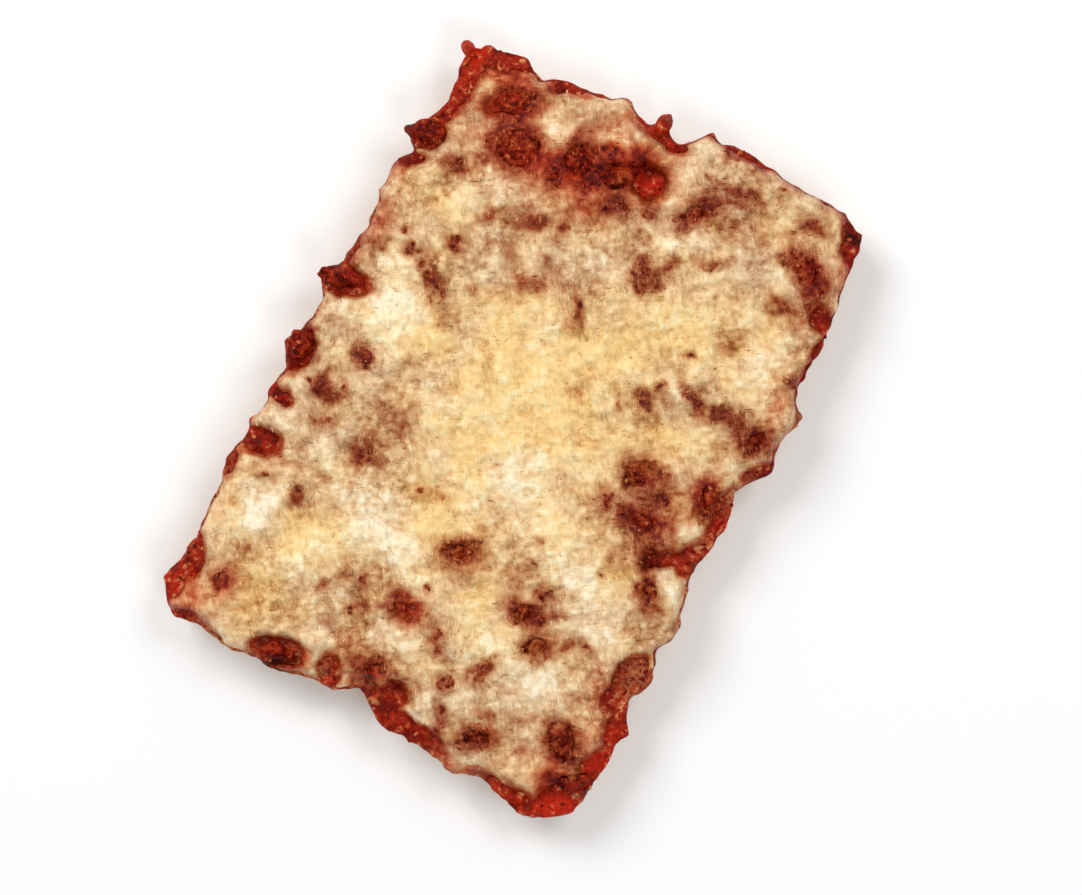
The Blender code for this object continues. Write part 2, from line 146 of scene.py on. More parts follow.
# Lumps under the cheese that the solid has too
LUMPS = [
    (-2, 51, 3, 1.5, 40), (-11, 43, 2.5, 1.5, 90), (-38.5, 43.5, 2.2, 1.8, 0), (3.5, 54, 2, 1.5, 0),
    (18, 66.5, 1.8, 1.4, 0), (28.5, 71.5, 1.4, 1.4, 0), (36.5, 68, 3, 1.5, -20),
    (38.5, 48.5, 2.2, 1.6, 0), (21, 50, 2.5, 1.3, 25), (8, 43, 2, 1.8, 0), (12, 40, 1.8, 1.6, 0),
    (7.5, 39, 2, 1.6, 60), (13.5, 45, 1.6, 1.6, 0), (-17, 39.5, 2, 1.6, 45), (-30.3, 27.8, 1.7, 1.7, 0),
    (-12, 27.5, 2.2, 1.6, 0), (-37.5, 23, 1.5, 1.2, 0), (-30.5, 18, 5.5, 1.3, -45),
    (-44.5, 20, 1.6, 1.5, 0), (-0.5, 28.5, 2.4, 1.3, -50), (1.5, 23.5, 1.6, 1.4, 0),
    (33, 35.5, 1.8, 1.2, -60), (48, 35.3, 2.2, 1.4, 50), (32.5, 21.5, 2.4, 1.4, -40),
    (22, 17, 1.9, 1.6, 0), (40.5, 22.3, 2.6, 1.4, 15), (34.5, 0.5, 2, 1.6, 0), (25.7, -6.3, 2, 1.4, -60),
    (26.3, -33.7, 2, 1.2, 20), (36, -37.3, 2.3, 1.2, -15), (22.5, -30.5, 1.8, 1.3, -60),
    (5.5, -49, 2, 1.4, -55), (17.5, -52, 3, 1.3, 60), (12, -58, 1.8, 1.5, -30),
    (-41.5, -60.5, 2.4, 1.9, 0), (-44, -35.5, 2.2, 1.2, 15), (-35.7, -37, 1.6, 1.5, 0),
    (-40.5, -12.8, 3.5, 2.5, 30), (-38.5, -19.2, 2, 1.1, 15), (-24, -10.5, 3.4, 3, 0),
    (-27, -23.5, 2, 1.2, -60), (-37.5, -3.5, 2.5, 1.4, -50), (31, -50, 4, 3, 0), (-28, 43, 4, 3, 30),
    (-34, -27, 4, 3, 20), (-43, -42, 4, 3, 0), (26, -22, 5, 3, 20),
]
# Small meat crumbs that show through the cheese, by how dark they are
SUNK_CRUMBS = graded({
    1: [(-3, 50.8, 3.8, 2.3, 20), (-11, 43, 2.5, 1.5, 90), (-38.5, 43.5, 2.2, 1.8), (18, 66.5, 1.6, 1.2),
        (20.8, 65, 1.6, 1), (20, 74.5, 2, 1, -30), (45, 69, 3, 1.6, -60), (47.5, 50, 2.5, 1.5, -30),
        (38.5, 48.5, 2.2, 1.5), (42.5, 46.5, 1.2, 0.7), (-17, 39.5, 2, 1.5, 45),
        (-26.5, 36.8, 1.8, 1, 45), (-30.3, 27.8, 1.6, 1.6), (-37.5, 23, 1.3, 0.8), (-44.5, 20, 1.5, 1.3),
        (-22.8, 21.3, 0.7, 0.5), (-19.3, 31.5, 0.8, 0.6), (-0.8, 28.5, 2.4, 1.1, -50),
        (1.5, 23.5, 1.5, 1.3), (32.5, 21.5, 2.3, 1.2, -40), (28, 23.5, 2, 0.9, -40), (24, 21, 0.8, 0.7),
        (22, 17, 1.8, 1.5), (40.5, 22.3, 2.6, 1.3, 15), (17.3, 13.3, 0.8, 0.6, -50),
        (25.7, -6.3, 2, 1.2, -60), (16.4, -27.5, 1.3, 0.6, 65), (22.5, -30.5, 1.8, 1.1, -60),
        (36, -37.3, 2.3, 0.9, -15), (5.5, -49, 2, 1.2, -55), (17.5, -52, 3, 1.1, 60),
        (-41.5, -60.5, 2.4, 1.8), (-13.9, -46.8, 0.8, 1.3), (-18.5, -47.4, 1.2, 0.8, 40),
        (-20.3, -50.6, 0.7, 1.1), (-11.3, -51.2, 1.4, 0.8, 30), (-13.5, -53, 0.7, 0.8),
        (-35.7, -37, 1.5, 1.4), (-24.7, -21.5, 1.8, 0.7, -15), (-31.5, 62, 3.2, 2.6, 40),
        (36, 60, 3, 2, 20), (44.5, 57, 2.5, 1.8, -50), (27.5, 3.5, 3, 2.6), (35.3, 0.1, 2.2, 1.6),
        (33, -7.5, 5, 2.4), (38, -12, 2.2, 4, -15), (41.5, -19, 2.6, 3.4, 20), (20.5, -36, 4.5, 2.4, 10),
        (25.6, -42, 3, 2.8, 50), (40.3, -57, 4, 4.6), (46, -63, 3.5, 2.5, 20),
        (-36.5, -3.5, 2.8, 2, -50), (-38.4, 22.6, 2, 1.4), (-38.3, -19.2, 2.4, 1.1),
        (-25, -21.6, 2.4, 1.2, -10)],
    0.9: [(10.5, 61, 1.2, 0.9), (14, 73.7, 1, 1), (28.5, 71.5, 1, 1), (36.5, 68, 3, 1.5, -20),
        (21, 50, 2.5, 1.2, 25), (8, 43, 1.8, 1.5), (12, 40, 1.5, 1.5), (7.5, 39.5, 1.3, 1.6),
        (13.5, 45.5, 1.3, 0.9, 30), (-12, 27.5, 2.2, 1.5), (-41.5, 25.5, 1, 0.8),
        (-11.5, 34.2, 0.7, 0.6), (-28.2, 0.2, 0.6, 0.5), (26.5, 30, 1.1, 0.9), (48, 35.3, 2.2, 1.2, 50),
        (26, 19.5, 0.8, 0.7), (28.3, -1.2, 1.6, 1, 10), (34.5, 0.5, 2, 1.5), (31.3, -21.5, 0.6, 0.5),
        (15.7, -21, 0.8, 0.6), (13.7, -31.2, 0.8, 0.4, 30), (26.3, -33.7, 2, 1, 20), (24, -35, 1, 0.7),
        (31, -38.5, 3, 0.7, 20), (7.5, -52.5, 1.3, 0.9), (12, -58, 1.8, 1.4, -30),
        (13.8, -64.5, 2.5, 0.8, -65), (14.5, -68, 1, 1), (22.5, -60, 1.2, 0.6), (0, -41, 0.9, 0.9),
        (-9.5, -59, 0.8, 0.7), (-39.5, -52.3, 1, 0.7), (-44, -35.5, 2.2, 0.8, 15),
        (-37.5, -3.5, 2.5, 1.2, -50), (-38.5, -19.2, 2, 0.8, 15), (-27, -23.5, 2, 1, -60),
        (-12.3, -24, 1, 0.7), (-38.2, -30.8, 0.7, 0.6), (-18, 52.5, 3, 4), (-11.5, 55.5, 5, 4.5),
        (-31, 53, 4, 5), (-37, 59.5, 2.4, 3), (32.5, 4.5, 2.5, 1.5), (27, -0.3, 2.5, 2), (43, 5.5, 3, 2),
        (45, 1.5, 2.6, 2.2), (25, -6, 2.6, 1.8, -60), (22.5, -31, 1.8, 1.6), (1.6, -31.5, 4, 2.2, 30),
        (11.5, -58.4, 2.2, 1.6), (-3.5, -46.5, 2.6, 2.1), (-3.5, -62, 3.6, 1.9)],
    0.8: [(3.5, 54, 2, 1.5), (37, 72, 1, 1), (9, 37.5, 1.3, 1.1), (14, 43.5, 0.9, 0.8),
        (-19.3, 38, 1.6, 0.6, 35), (-30.5, 18, 5.5, 1.1, -45), (-23.5, 30, 0.6, 0.5),
        (-12, 8, 1.5, 0.35, -60), (-28.5, 1.5, 0.6, 0.5), (-46, 1.2, 1, 0.8), (16.5, 14.6, 1, 0.35, -55),
        (31.8, 4.6, 1.5, 1.2), (4.5, -19, 0.6, 0.5), (3, -24.8, 0.6, 0.5), (39, -47.5, 1.3, 0.9),
        (-16.8, -57.5, 0.6, 0.5), (-45, -12.5, 1, 0.9), (-31.5, -30, 0.8, 0.7), (-28.2, -33.5, 0.6, 0.5),
        (8, 12, 0.5, 0.4), (-8.3, 43, 0.9, 0.7), (-34, 47, 1.5, 0.9, 20), (16, 62, 1, 0.8),
        (-9, 61, 3.5, 2), (47.5, 52, 1.5, 3, 20), (9, 41, 3.2, 2.2, -60), (17.5, -52.5, 2, 3, -20),
        (-31, 17.5, 5.6, 1.3, -45), (-36, -36.5, 1.8, 2)],
    0.75: [(-40.5, -12.8, 3.2, 2.2, 30)],
    0.7: [(33, 35.5, 1.8, 0.9, -60), (29.5, -9.2, 1.6, 1), (-7.5, -22, 1.4, 0.5, 20),
        (-26.5, -28.3, 0.8, 0.7), (27, 66, 1, 0.8), (30, -57, 1.2, 0.9, 20), (34, -62.5, 1.5, 1, -20),
        (-16, 61, 1.5, 3, 10), (-25, 52.5, 3, 3.6, 20), (23, -64.5, 3.6, 2.6, 25),
        (5.5, -49.5, 1.6, 2.4), (-40, -12, 4.4, 3, 20), (-26.5, -19, 2, 1.6)],
    0.6: [(23.8, 66.7, 1.5, 1.2), (34, 38, 1, 0.7), (-22.5, -14.5, 1.6, 1), (33, 64, 1.3, 0.9, 30),
        (-2.5, 63, 3, 2), (15, 60, 2.6, 2, 55)],
    0.5: [(-33, 8.5, 0.5, 0.4), (-8.5, 51, 3, 2, 30), (32.3, -17, 2, 2.5)],
    0.45: [(32, -17, 2, 1.6), (-24, -10.5, 3.2, 2.4), (-24, -10.5, 3, 4)],
    0.4: [(22, 58.5, 2.6, 1.6), (31, 58.3, 2.4, 1.3), (2.5, 58.5, 2, 2.5)],
})
# Broad patches of meat and sauce that show through thin cheese, by how strongly they do
BROWN_PATCHES = graded({
    1: [(-28, 53.5, 6.5, 6), (-10, 57, 12, 7, -5), (-3.5, 51, 5, 3, 20), (30.3, 1.6, 6.5, 5.5),
        (43, 3.2, 5, 4.8), (38.6, -14.5, 6.5, 3.2, -58), (40, -57.2, 5.6, 4.6, -50),
        (-40.5, -11.8, 5, 4.4, 30)],
    0.95: [(31.5, -6.3, 8, 2.8), (22.3, -35.2, 6, 4, -10)],
    0.9: [(-33.5, 60.5, 7, 4, 35), (13, 58.2, 4.6, 2.8, 50), (41.5, 57.2, 6, 3, -35), (20, 66.5, 5, 2.2),
        (26.2, -41.8, 4.4, 3.4, 50), (1.2, -31, 4.8, 2.8, 35), (24, -64.5, 5, 3.6, 25),
        (-47.5, 46, 4.6, 4.2), (-49.8, 9.4, 5.5, 4), (-50, -7, 4.5, 5), (-24, -70, 5, 2.4, 15)],
    0.85: [(-3, 65, 5, 7), (9.2, 43, 5, 5.5), (32.5, 21.2, 4.4, 2.2, -40), (40.5, 22.2, 4.2, 2.4, 15)],
    0.8: [(3.8, 56, 3.5, 2.4), (39, 48.6, 3.6, 2.4), (48.4, 36.5, 3, 2, 50), (-4.5, -62.5, 6, 2.6, 5),
        (-42, -61, 3.4, 2.6), (-4, -46.5, 4, 3, -45), (17.5, -50.5, 3, 4.6, -30), (22.5, 17, 3, 2.6),
        (47, 20, 3.6, 3, 65), (44, -66.5, 5, 5, 30)],
    0.7: [(-15.5, 65, 2.4, 4, 10), (-39, 68, 7, 3, 12), (45.6, 68, 3.5, 2.4, -60),
        (-38, -3.7, 4, 1.8, -50), (6, -50.5, 3.4, 3), (-30.3, 27.6, 2.8, 2.4), (-31, 18, 6.5, 2, -45),
        (0, 27, 2.6, 5, -20), (51, 13, 3, 3), (-46.5, -31, 5, 3.4), (-25.5, -22.3, 4, 2, -30),
        (21.5, 50, 3.6, 2, 25), (-38.3, 43.6, 3.2, 2.6), (-17.5, 39.2, 3, 2, 40)],
    0.6: [(35.5, 68.2, 4, 2, -20), (-23.8, -10.5, 4, 4.2), (-34.8, -37, 3, 2.4), (-14, 44, 4, 3.2),
        (-26.5, 36.8, 3, 1.6, 45), (-44.5, 20.5, 3, 3), (31, -38.3, 4, 1.2, 20), (-12.5, 27.6, 3, 2.2)],
    0.55: [(33.5, 36.5, 2.8, 2, -50)],
    0.5: [(28, 71, 4, 2), (-17, -48, 4.4, 4), (31.5, -17, 3, 2.4), (33, -19, 4, 5), (-48, 61, 4, 8),
        (-37, 23, 3, 1.8)],
    0.45: [(12.5, -60.5, 3, 4.4), (-16, 42, 5, 4), (-12, -24, 4, 1.6, 10)],
    0.4: [(27.5, 60, 6, 2.6), (8, -69.5, 11, 2, -5), (47.5, -34, 3, 5), (-33, 20, 5, 3, -45)],
    0.35: [(12, -30, 2.4, 3, 30)],
    0.3: [(-2, 20, 2, 5)],
})
# Broad tints of the cheese, by how strong they are. The pale ones are partly a painted highlight and the
# tan ones partly painted shade.
GOLD_TINTS = graded({
    1: [(0, 5, 20, 17)],
    0.9: [(20, 34, 11, 8, 20), (8, 22, 13, 9, 20), (-5, -27, 8, 8)],
    0.8: [(-6, -6, 13, 12), (18, -18, 7, 6), (-28, -45, 8, 8), (34, -21, 5, 5), (-27, 7, 14, 7)],
    0.7: [(-13, 18, 9, 7)],
    0.6: [(30, 12, 8, 5), (12, -40, 5, 8), (0, -14, 16, 6)],
    0.5: [(38, 40, 8, 6), (-33, -59, 9, 8), (-48, -45, 5, 8), (17, 2, 9, 8)],
    0.4: [(-36, 36, 9, 4, 20), (38, 28, 7, 4)],
})
# Pale cheese lumps, partly a painted highlight where they catch the light
PALE_AND_HIGHLIGHT_TINTS = graded({
    1: [(-36, 8.5, 7, 5, -10), (-43, -42, 5, 4.5), (45, -14, 4, 3.4), (10.3, -65.5, 3, 3.4),
        (-1, -42, 1.2, 1.2), (43.8, -5.4, 3, 1.2, 38), (-16.5, -70, 4, 3)],
    0.95: [(30, -50, 6, 4.5)],
    0.9: [(29, -26, 9, 4.5, -50), (-16, -69.5, 3.4, 2.4), (-15.5, -45, 1.6, 1), (-17.5, -50.5, 1.4, 1)],
    0.85: [(-17, -33, 8, 4.5, -15)],
    0.8: [(-44, 55, 2.4, 7, 15), (23, -71, 5, 3), (32, 1.7, 1.2, 1.2), (-46, 3, 4, 5),
        (47.5, 59, 2.2, 6, 15)],
    0.7: [(4, -12, 9, 5, 10), (-33, 66, 6, 2, 40), (7, -6.5, 4, 3), (-32, -19, 3, 3)],
    0.6: [(-28, 43, 4, 3, 30), (-27, -46, 4, 6), (-36, 55, 6, 1.8, 40), (-6, -69, 4, 2),
        (-46, -12, 3, 6)],
    0.5: [(-34, -27, 5, 3, 20), (13, 52, 5, 3), (31, 72, 5, 2.5), (9, 70, 4, 3), (38, -30, 4, 5),
        (24, -18, 4, 4), (-36, -72, 7, 2.4), (-22, 0, 4, 2, 45), (-43, 16, 4, 3), (46, 14, 4, 4),
        (-46, -62, 3, 4), (-6, -51, 4, 3), (-2, -51, 3, 2), (-24, 60, 4, 3)],
    0.4: [(35, 53, 5, 3), (-21, 62, 4, 4), (20, 36, 7, 4, 20), (-20, 28, 4, 4), (-22, 11, 5, 3),
        (14, -50, 4, 4), (42, 36, 4, 3), (30, -60, 4, 3)],
    0.35: [(0, 0, 8, 6)],
    0.3: [(42, 40, 4, 3), (-4, 40, 5, 5)],
})
# Tan cheese, partly painted shade where it lies grey between the lumps
TAN_AND_SHADE_TINTS = graded({
    1: [(-15, 40, 6, 4), (-36, 30, 6, 4), (35, 50, 6, 5), (25, 70, 5, 4)],
    0.9: [(-18, 41, 9, 4, 10), (10, 42, 7, 6), (-40, -14, 8, 7), (27, 50, 8, 5), (-42, 47, 6, 5),
        (4, -58.5, 6, 5), (33, -40, 6, 4), (6, 31, 6, 6), (36, 70, 5, 4)],
    0.8: [(2, 27, 4, 8), (46, 20, 8, 7), (20, 62, 10, 8), (-15, -48, 5, 4), (0, -47, 9, 4),
        (-31, 26, 9, 5, 10), (-36, -61, 7, 5), (38, 51, 5, 4), (35, -42, 5, 5), (36, -22, 5, 5),
        (-32, -40, 7, 4), (-15, 30, 6, 5), (5, 49, 6, 4), (-45, 50, 4, 5)],
    0.7: [(21, -37, 9, 6), (22, -66, 8, 6), (-46, 22, 4, 8), (-37, -42, 4, 5), (5, 30, 5, 5),
        (26, 69, 6, 5), (5, 0, 6, 4), (16, 9, 6, 5)],
    0.6: [(-25, 16, 8, 4, -30), (34, -3, 9, 8), (34, 36, 5, 5), (46, -28, 6, 8), (-5, 31, 6, 6),
        (-35, -37, 7, 5), (4, -33, 6, 4), (-30, -20, 6, 5), (42, -55, 7, 8), (31, 22, 6, 4),
        (36, -51, 4, 5)],
    0.5: [(-23, -15, 5, 6), (22, 13, 7, 6), (-47, -18, 4, 6), (-14, 46, 8, 5), (40, 62, 6, 8),
        (27, -42, 8, 5), (5, 2, 5, 4), (16, 10, 5, 4), (-18, 63, 5, 5), (-5, -58, 6, 4)],
    0.4: [(10, -54, 7, 4), (0, 60, 14, 5), (-8, 30, 8, 6), (-15, 1, 5, 3), (15, -22, 4, 4),
        (25, -30, 5, 4)],
})
RUST_TINTS = graded({
    1: [(-24, 53, 13, 7, 12), (-5, 62, 11, 8, -10), (-33, 60, 7, 5), (-12, 55, 9, 8)],
    0.9: [(-38, 65, 9, 4.5, 10), (-46, -67, 7, 5, -30), (43, -67, 7, 8, 30), (44, 4, 5, 5)],
    0.8: [(48, 62, 3.5, 9), (5, 58, 4, 3), (-41.7, -61, 4, 4), (-3.5, -62, 5, 3), (-3.5, -47, 4, 4)],
    0.7: [(-8, 50, 6, 4), (-22, -69, 6, 4, 5), (3, -66, 5, 4), (47, -53, 3.5, 8), (20, -73, 14, 2.2),
        (-50, 38, 2.5, 5), (34, -6, 7, 3), (39, 58.5, 7, 4, -35)],
    0.6: [(-45, 58, 3.5, 8), (-49, 25, 2.5, 8), (-42, 10, 3, 2.2), (-43, -61, 4, 4), (44, -44, 4, 6),
        (29, 3, 5, 4), (1.6, -31, 5, 4, 30), (48, 30, 4, 5)],
    0.5: [(46, 47, 4, 4), (-10, -67.5, 5, 3), (38, -5, 9, 8), (42, -9, 5, 5), (26, 74.5, 20, 1.6, 3),
        (31, 3.5, 4, 4), (50, 5, 2, 9), (51, 33, 2.5, 6), (40, -57, 6, 6), (20.5, -36, 5, 4)],
    0.4: [(-50, -45, 2.5, 7), (-33, 55, 7, 5), (-12, 27.5, 3.4, 2.6), (-17, 39.5, 3, 2.4),
        (-44, -30, 3, 4), (25.6, -42, 4, 4)],
})
# Meat that is redder and lighter than the rest, and meat that is nearly black
RED_MEAT = graded({
    1: [(45, 4.4, 6, 5, -50), (1.6, -31, 6, 4, 35), (-4, -47.4, 5, 4, -45), (-40.5, -12, 5, 4, 30),
        (-24, -10, 5, 5), (-12, 27.5, 4, 3)],
    0.9: [(-28, 53, 8, 7)],
    0.8: [(-34, 61, 7, 5, 40), (-26, 37, 4, 3)],
    0.7: [(13, 58, 6, 4, 55)],
    0.6: [(40, 58, 7, 4, -35), (25.6, -41.8, 4.5, 4, 50), (9, 42, 6, 6), (20, 66, 6, 4), (6, -51, 3, 3),
        (-44, -35, 3, 2)],
    0.5: [(-50.4, -7.2, 5, 4, -70), (-48.5, -30, 3, 3), (3, -66, 4, 4), (-12, -66, 4, 3), (31, 5, 3, 2)],
    0.4: [(34, -6.4, 6, 3.4), (-35.7, -37, 3, 3)],
    0.3: [(20, -36.6, 5, 4)],
})
BLACK_MEAT = graded({
    1: [(-6.2, 57.8, 6, 5), (47.3, 20, 5, 4, 65), (17.3, 13.3, 2, 2), (-25, -69, 7, 4)],
    0.8: [(16.4, -27.5, 2, 2), (-24.7, -21.5, 3, 2)],
    0.7: [(46.3, -64, 7, 4, 20)],
    0.6: [(22.5, -30.5, 3, 2)],
    0.5: [(0, 25, 3, 5), (11.6, -58.5, 3, 3), (-37.5, 22, 3, 3)],
    0.4: [(-15, 56.8, 6, 5), (40.5, -57.3, 7, 6, -50), (-47.6, 47, 6, 4.5, 30), (38.5, -13, 3, 3),
        (32.5, 21.5, 4, 3)],
})
# Bare sauce: where it is bright and wet, where it has caught, and where a tan film of cheese lies on it
BRIGHT_SAUCE = graded({
    1: [(0.5, 59, 4, 4), (-48, 67, 4, 4), (46.5, -71, 7, 5)],
    0.9: [(48.3, -55, 5, 8)],
    0.7: [(50.5, 4, 3, 7), (-13, -70, 7, 2.5), (24, -72.5, 5, 3), (-50, -67, 5, 7)],
    0.6: [(-4, 70.5, 7, 3)],
    0.5: [(50, 66, 3, 9), (36, -73, 8, 3)],
    0.4: [(-46, 62, 4, 9), (51, 44, 2, 6)],
    0.3: [(47, -8.8, 4, 4), (-51, -29, 3, 3), (8, -70, 9, 3)],
    0.2: [(50, -45, 3, 5)],
    0.15: [(-38, 69.5, 7, 3)],
})
CAUGHT_SAUCE = graded({
    1: [(25, 76, 22, 1.8, 3), (-24, -72, 6, 2.5), (-25, -69, 6, 4)],
    0.9: [(53, 29, 2, 3), (-50, 46, 4, 5), (47, -64, 5, 3)],
    0.8: [(51.5, 40, 2, 6), (-53, 9, 3, 4), (-53, -7, 3, 5), (-50, -19, 3, 3), (46, 69, 4, 5, -60),
        (49, 51, 3, 3)],
    0.7: [(-53, -37, 2, 4), (51, 14, 3, 3), (-30, 75, 4, 1.5), (-51, 40, 2, 4)],
    0.6: [(10, -74, 10, 2), (-2.3, 73, 3, 2.5)],
    0.55: [(-46, -31, 3.4, 3)],
    0.5: [(48, -9, 3, 3), (33, -76, 6, 1.5), (8, -69.5, 5, 2.4)],
    0.4: [(48, -45, 3, 3), (-12, -66, 3, 2.4)],
})
FILMED_SAUCE = graded({
    1: [(23.5, -72.8, 4.5, 3), (-37, -74, 7, 2.6), (-16, -70, 4.4, 3.6), (-53, -48, 2, 8),
        (53, -22, 2.5, 8), (48.5, 9, 2.5, 3.5)],
    0.9: [(50, -17, 2, 5)],
    0.8: [(52, 26, 2, 3)],
    0.7: [(-5.5, -65.5, 4, 1.6), (-53, 0, 2, 2.5), (-52, 25, 2, 8), (-12, 74, 5, 2)],
    0.5: [(49, -41, 3, 2), (48, -37, 3, 3)],
})


def grid(reach_x, reach_y, pitch):
    """Places every pitch millimetres, as far as the reach on both sides of the middle."""
    across = np.arange(-reach_x, reach_x, pitch)
    along = np.arange(-reach_y, reach_y, pitch)
    return np.meshgrid(across, along, indexing="ij")


def soft_min(a, b, width):
    near = np.clip(1 - np.abs(a - b) / width, 0, 1)
    return np.minimum(a, b) - near * near * width / 4


def smooth_step(low, high, value):
    t = np.clip((value - low) / (high - low), 0, 1)
    return t * t * (3 - 2 * t)


def turned(x, y, turn):
    """The same places along axes that are turned by an angle in radians."""
    c, s = math.cos(turn), math.sin(turn)
    return x * c + y * s, y * c - x * s


def between(values, i, j, s, t):
    """Values of a grid the shares s and t of the way from point i, j to the next one."""
    low = values[i, j] * (1 - s) + values[i + 1, j] * s
    high = values[i, j + 1] * (1 - s) + values[i + 1, j + 1] * s
    return low * (1 - t) + high * t


def waves(x, y, size, seed):
    """Smooth noise from -1 to 1, its lumps about size across. Past seed 50 each is turned its own way."""
    lattice = np.random.default_rng(seed).uniform(-1, 1, (257, 257))
    u, v = turned(x, y, seed if seed > 50 else 0)
    u, v = u / size + 128, v / size + 128
    i, j = np.floor(u).astype(int), np.floor(v).astype(int)
    return between(lattice, i % 256, j % 256, smooth_step(0, 1, u - i), smooth_step(0, 1, v - j))


def curds(x, y, size, seed):
    """Round lumps about size across, 1 on their crests and 0 in the clefts between them."""
    jitter = np.random.default_rng(seed).uniform(0, 1, (2, 256, 256))
    u = x / size + 128
    v = y / size + 128
    i = np.floor(u).astype(int)
    j = np.floor(v).astype(int)
    nearest = np.full_like(u, 9.0)
    second = np.full_like(u, 9.0)
    for a in (i - 1, i, i + 1):
        for b in (j - 1, j, j + 1):
            away = np.hypot(a + jitter[0, a % 256, b % 256] - u, b + jitter[1, a % 256, b % 256] - v)
            second = np.minimum(second, np.maximum(nearest, away))
            nearest = np.minimum(nearest, away)
    return smooth_step(0.0, 0.65, second - nearest)


def side_line(name, place, drips):
    """Where a side runs. The narrow lumps are drips of sauce and cheese, which the bread has less of."""
    line, slope, lumps = SIDES[name]
    outwards = -1 if name in ("left", "bottom") else 1
    bulge = 0
    for at, reach, half in lumps:
        share = drips if reach > 0 and half < 3 else 1
        bulge = bulge + share * reach * np.exp(-(((place - at) / half) ** 2))
    return line + slope * place + outwards * bulge


def oval_radius(x, y, spot):
    """Distance from an oval's centre, as a share of the oval."""
    u, v = turned(x - spot[0], y - spot[1], math.radians(spot[4]))
    return np.hypot(u / spot[2], v / spot[3])


def outside_oval(x, y, spot):
    """Millimetres outside an oval, negative inside it."""
    return (oval_radius(x, y, spot) - 1) * min(spot[2], spot[3])


def warped(x, y, amount, size, seed):
    """The same places pushed about by noise, which makes an oval uneven."""
    return x + amount * waves(x, y, size, seed), y + amount * waves(x, y, size, seed + 1)


def ragged(x, y):
    return warped(*warped(x, y, 0.9, 3.0, 51), 0.4, 1.2, 53)


def inside_sides(x, y, drips=1.0):
    across = np.minimum(x - side_line("left", y, drips), side_line("right", y, drips) - x)
    along = np.minimum(side_line("top", x, drips) - y, y - side_line("bottom", x, drips))
    return soft_min(across, along, CORNER) + 0.25 * waves(x, y, 2.2, 3)


def sauce_cover(x, y):
    """Millimetres inside the sauce's rim, with the crumbs stuck to it."""
    depth = inside_sides(x, y)
    for spot in RIM_CRUMBS:
        depth = np.maximum(depth, -outside_oval(x, y, spot))
    return depth + 0.3 * waves(x, y, 1.9, 14) + 0.1 * waves(x, y, 1.0, 15)


def cheese_rim(x, y):
    """Millimetres inside the melted sheet of cheese, which leaves out the bare sauce."""
    wobble = 0.5 * waves(x, y, 2.6, 5) + 0.25 * waves(x, y, 1.6, 6)
    cover = inside_sides(x, y) - 0.6 + 0.7 * wobble
    for spot in BARE_SAUCE:
        cover = soft_min(cover, outside_oval(x, y, spot) + wobble, 0.8)
    return cover


def cheese_cover(x, y):
    """The same with holes that fit round the crumbles."""
    cover = cheese_rim(x, y)
    x, y = ragged(x, y)
    for spot in CRUMBLES + RIM_CRUMBS:
        cover = soft_min(cover, outside_oval(x, y, spot) + CRUMBLE_LAP, 0.8)
    return cover


def tint(x, y, spots):
    """Strongest of the soft ovals at each place, with uneven edges."""
    x, y = warped(x, y, 2.2, 6.0, 81)
    x, y = warped(x, y, 0.9, 2.0, 83)
    value = np.zeros_like(x)
    for spot in spots:
        value = np.maximum(value, spot[5] * np.exp(-(oval_radius(x, y, spot) ** 1.6)))
    return value


def shred_marks():
    """Heights and tones of the melted shreds, as two sheets of values every SHRED_PITCH millimetres."""
    rng = np.random.default_rng(41)
    x, y = grid(SHEET_X, SHEET_Y, SHRED_PITCH)
    relief = np.zeros_like(x)
    tone = np.zeros_like(x)
    for _ in range(SHREDS):
        at_x, at_y = rng.uniform(-54, 54), rng.uniform(-76, 76)
        length = rng.uniform(2.0, 6.5)
        width = rng.uniform(0.35, 1.0)
        turn = math.radians(rng.normal(-52, 22) if rng.random() < 0.65 else rng.normal(32, 22))
        bend = rng.normal(0, 0.05)
        height = rng.uniform(0.12, 0.4)
        shade = rng.uniform(-1, 1)
        reach = int((length + 2) / SHRED_PITCH)
        i = int((at_x + SHEET_X) / SHRED_PITCH)
        j = int((at_y + SHEET_Y) / SHRED_PITCH)
        window = (slice(max(i - reach, 0), i + reach), slice(max(j - reach, 0), j + reach))
        u, v = turned(x[window] - at_x, y[window] - at_y, turn)
        v = v + bend * u * u
        beyond = np.maximum(np.abs(u) - length, 0)
        core = np.clip(1 - (v * v + beyond * beyond) / (width * width), 0, 1)
        relief[window] = np.maximum(relief[window], height * core)
        share = np.sqrt(core) * 0.8
        tone[window] = tone[window] * (1 - share) + shade * share
    return relief, tone


SHRED_RELIEF, SHRED_TONE = shred_marks()


def read_sheet(values, x, y):
    """The value of a sheet from shred_marks at any place, blended between its four nearest."""
    u = np.clip((x + SHEET_X) / SHRED_PITCH, 0, values.shape[0] - 1.001)
    v = np.clip((y + SHEET_Y) / SHRED_PITCH, 0, values.shape[1] - 1.001)
    i, j = u.astype(int), v.astype(int)
    return between(values, i, j, u - i, v - j)


def lumps(x, y):
    """The swells of the melted cheese, about -1 to 1. In the colour their crests are painted paler and
    their hollows darker, as painted light and shade.
    """
    return 0.4 * waves(x, y, 7.5, 21) + 0.5 * waves(x, y, 4.2, 22) + 0.3 * waves(x, y, 2.2, 23)


def curdled(x, y):
    """The small round lumps of the cheese, 0 on their crests and -1 in the clefts, flattest in the gold. In
    the colour the clefts are painted shade.
    """
    x, y = warped(x, y, 0.8, 2.4, 88)
    here = smooth_step(-0.5, 0.6, waves(x, y, 7.0, 87)) * (1 - 0.75 * tint(x, y, GOLD_TINTS))
    return here * (0.5 * curds(x, y, 3.2, 85) + 0.5 * curds(x, y, 1.6, 86) - 1)


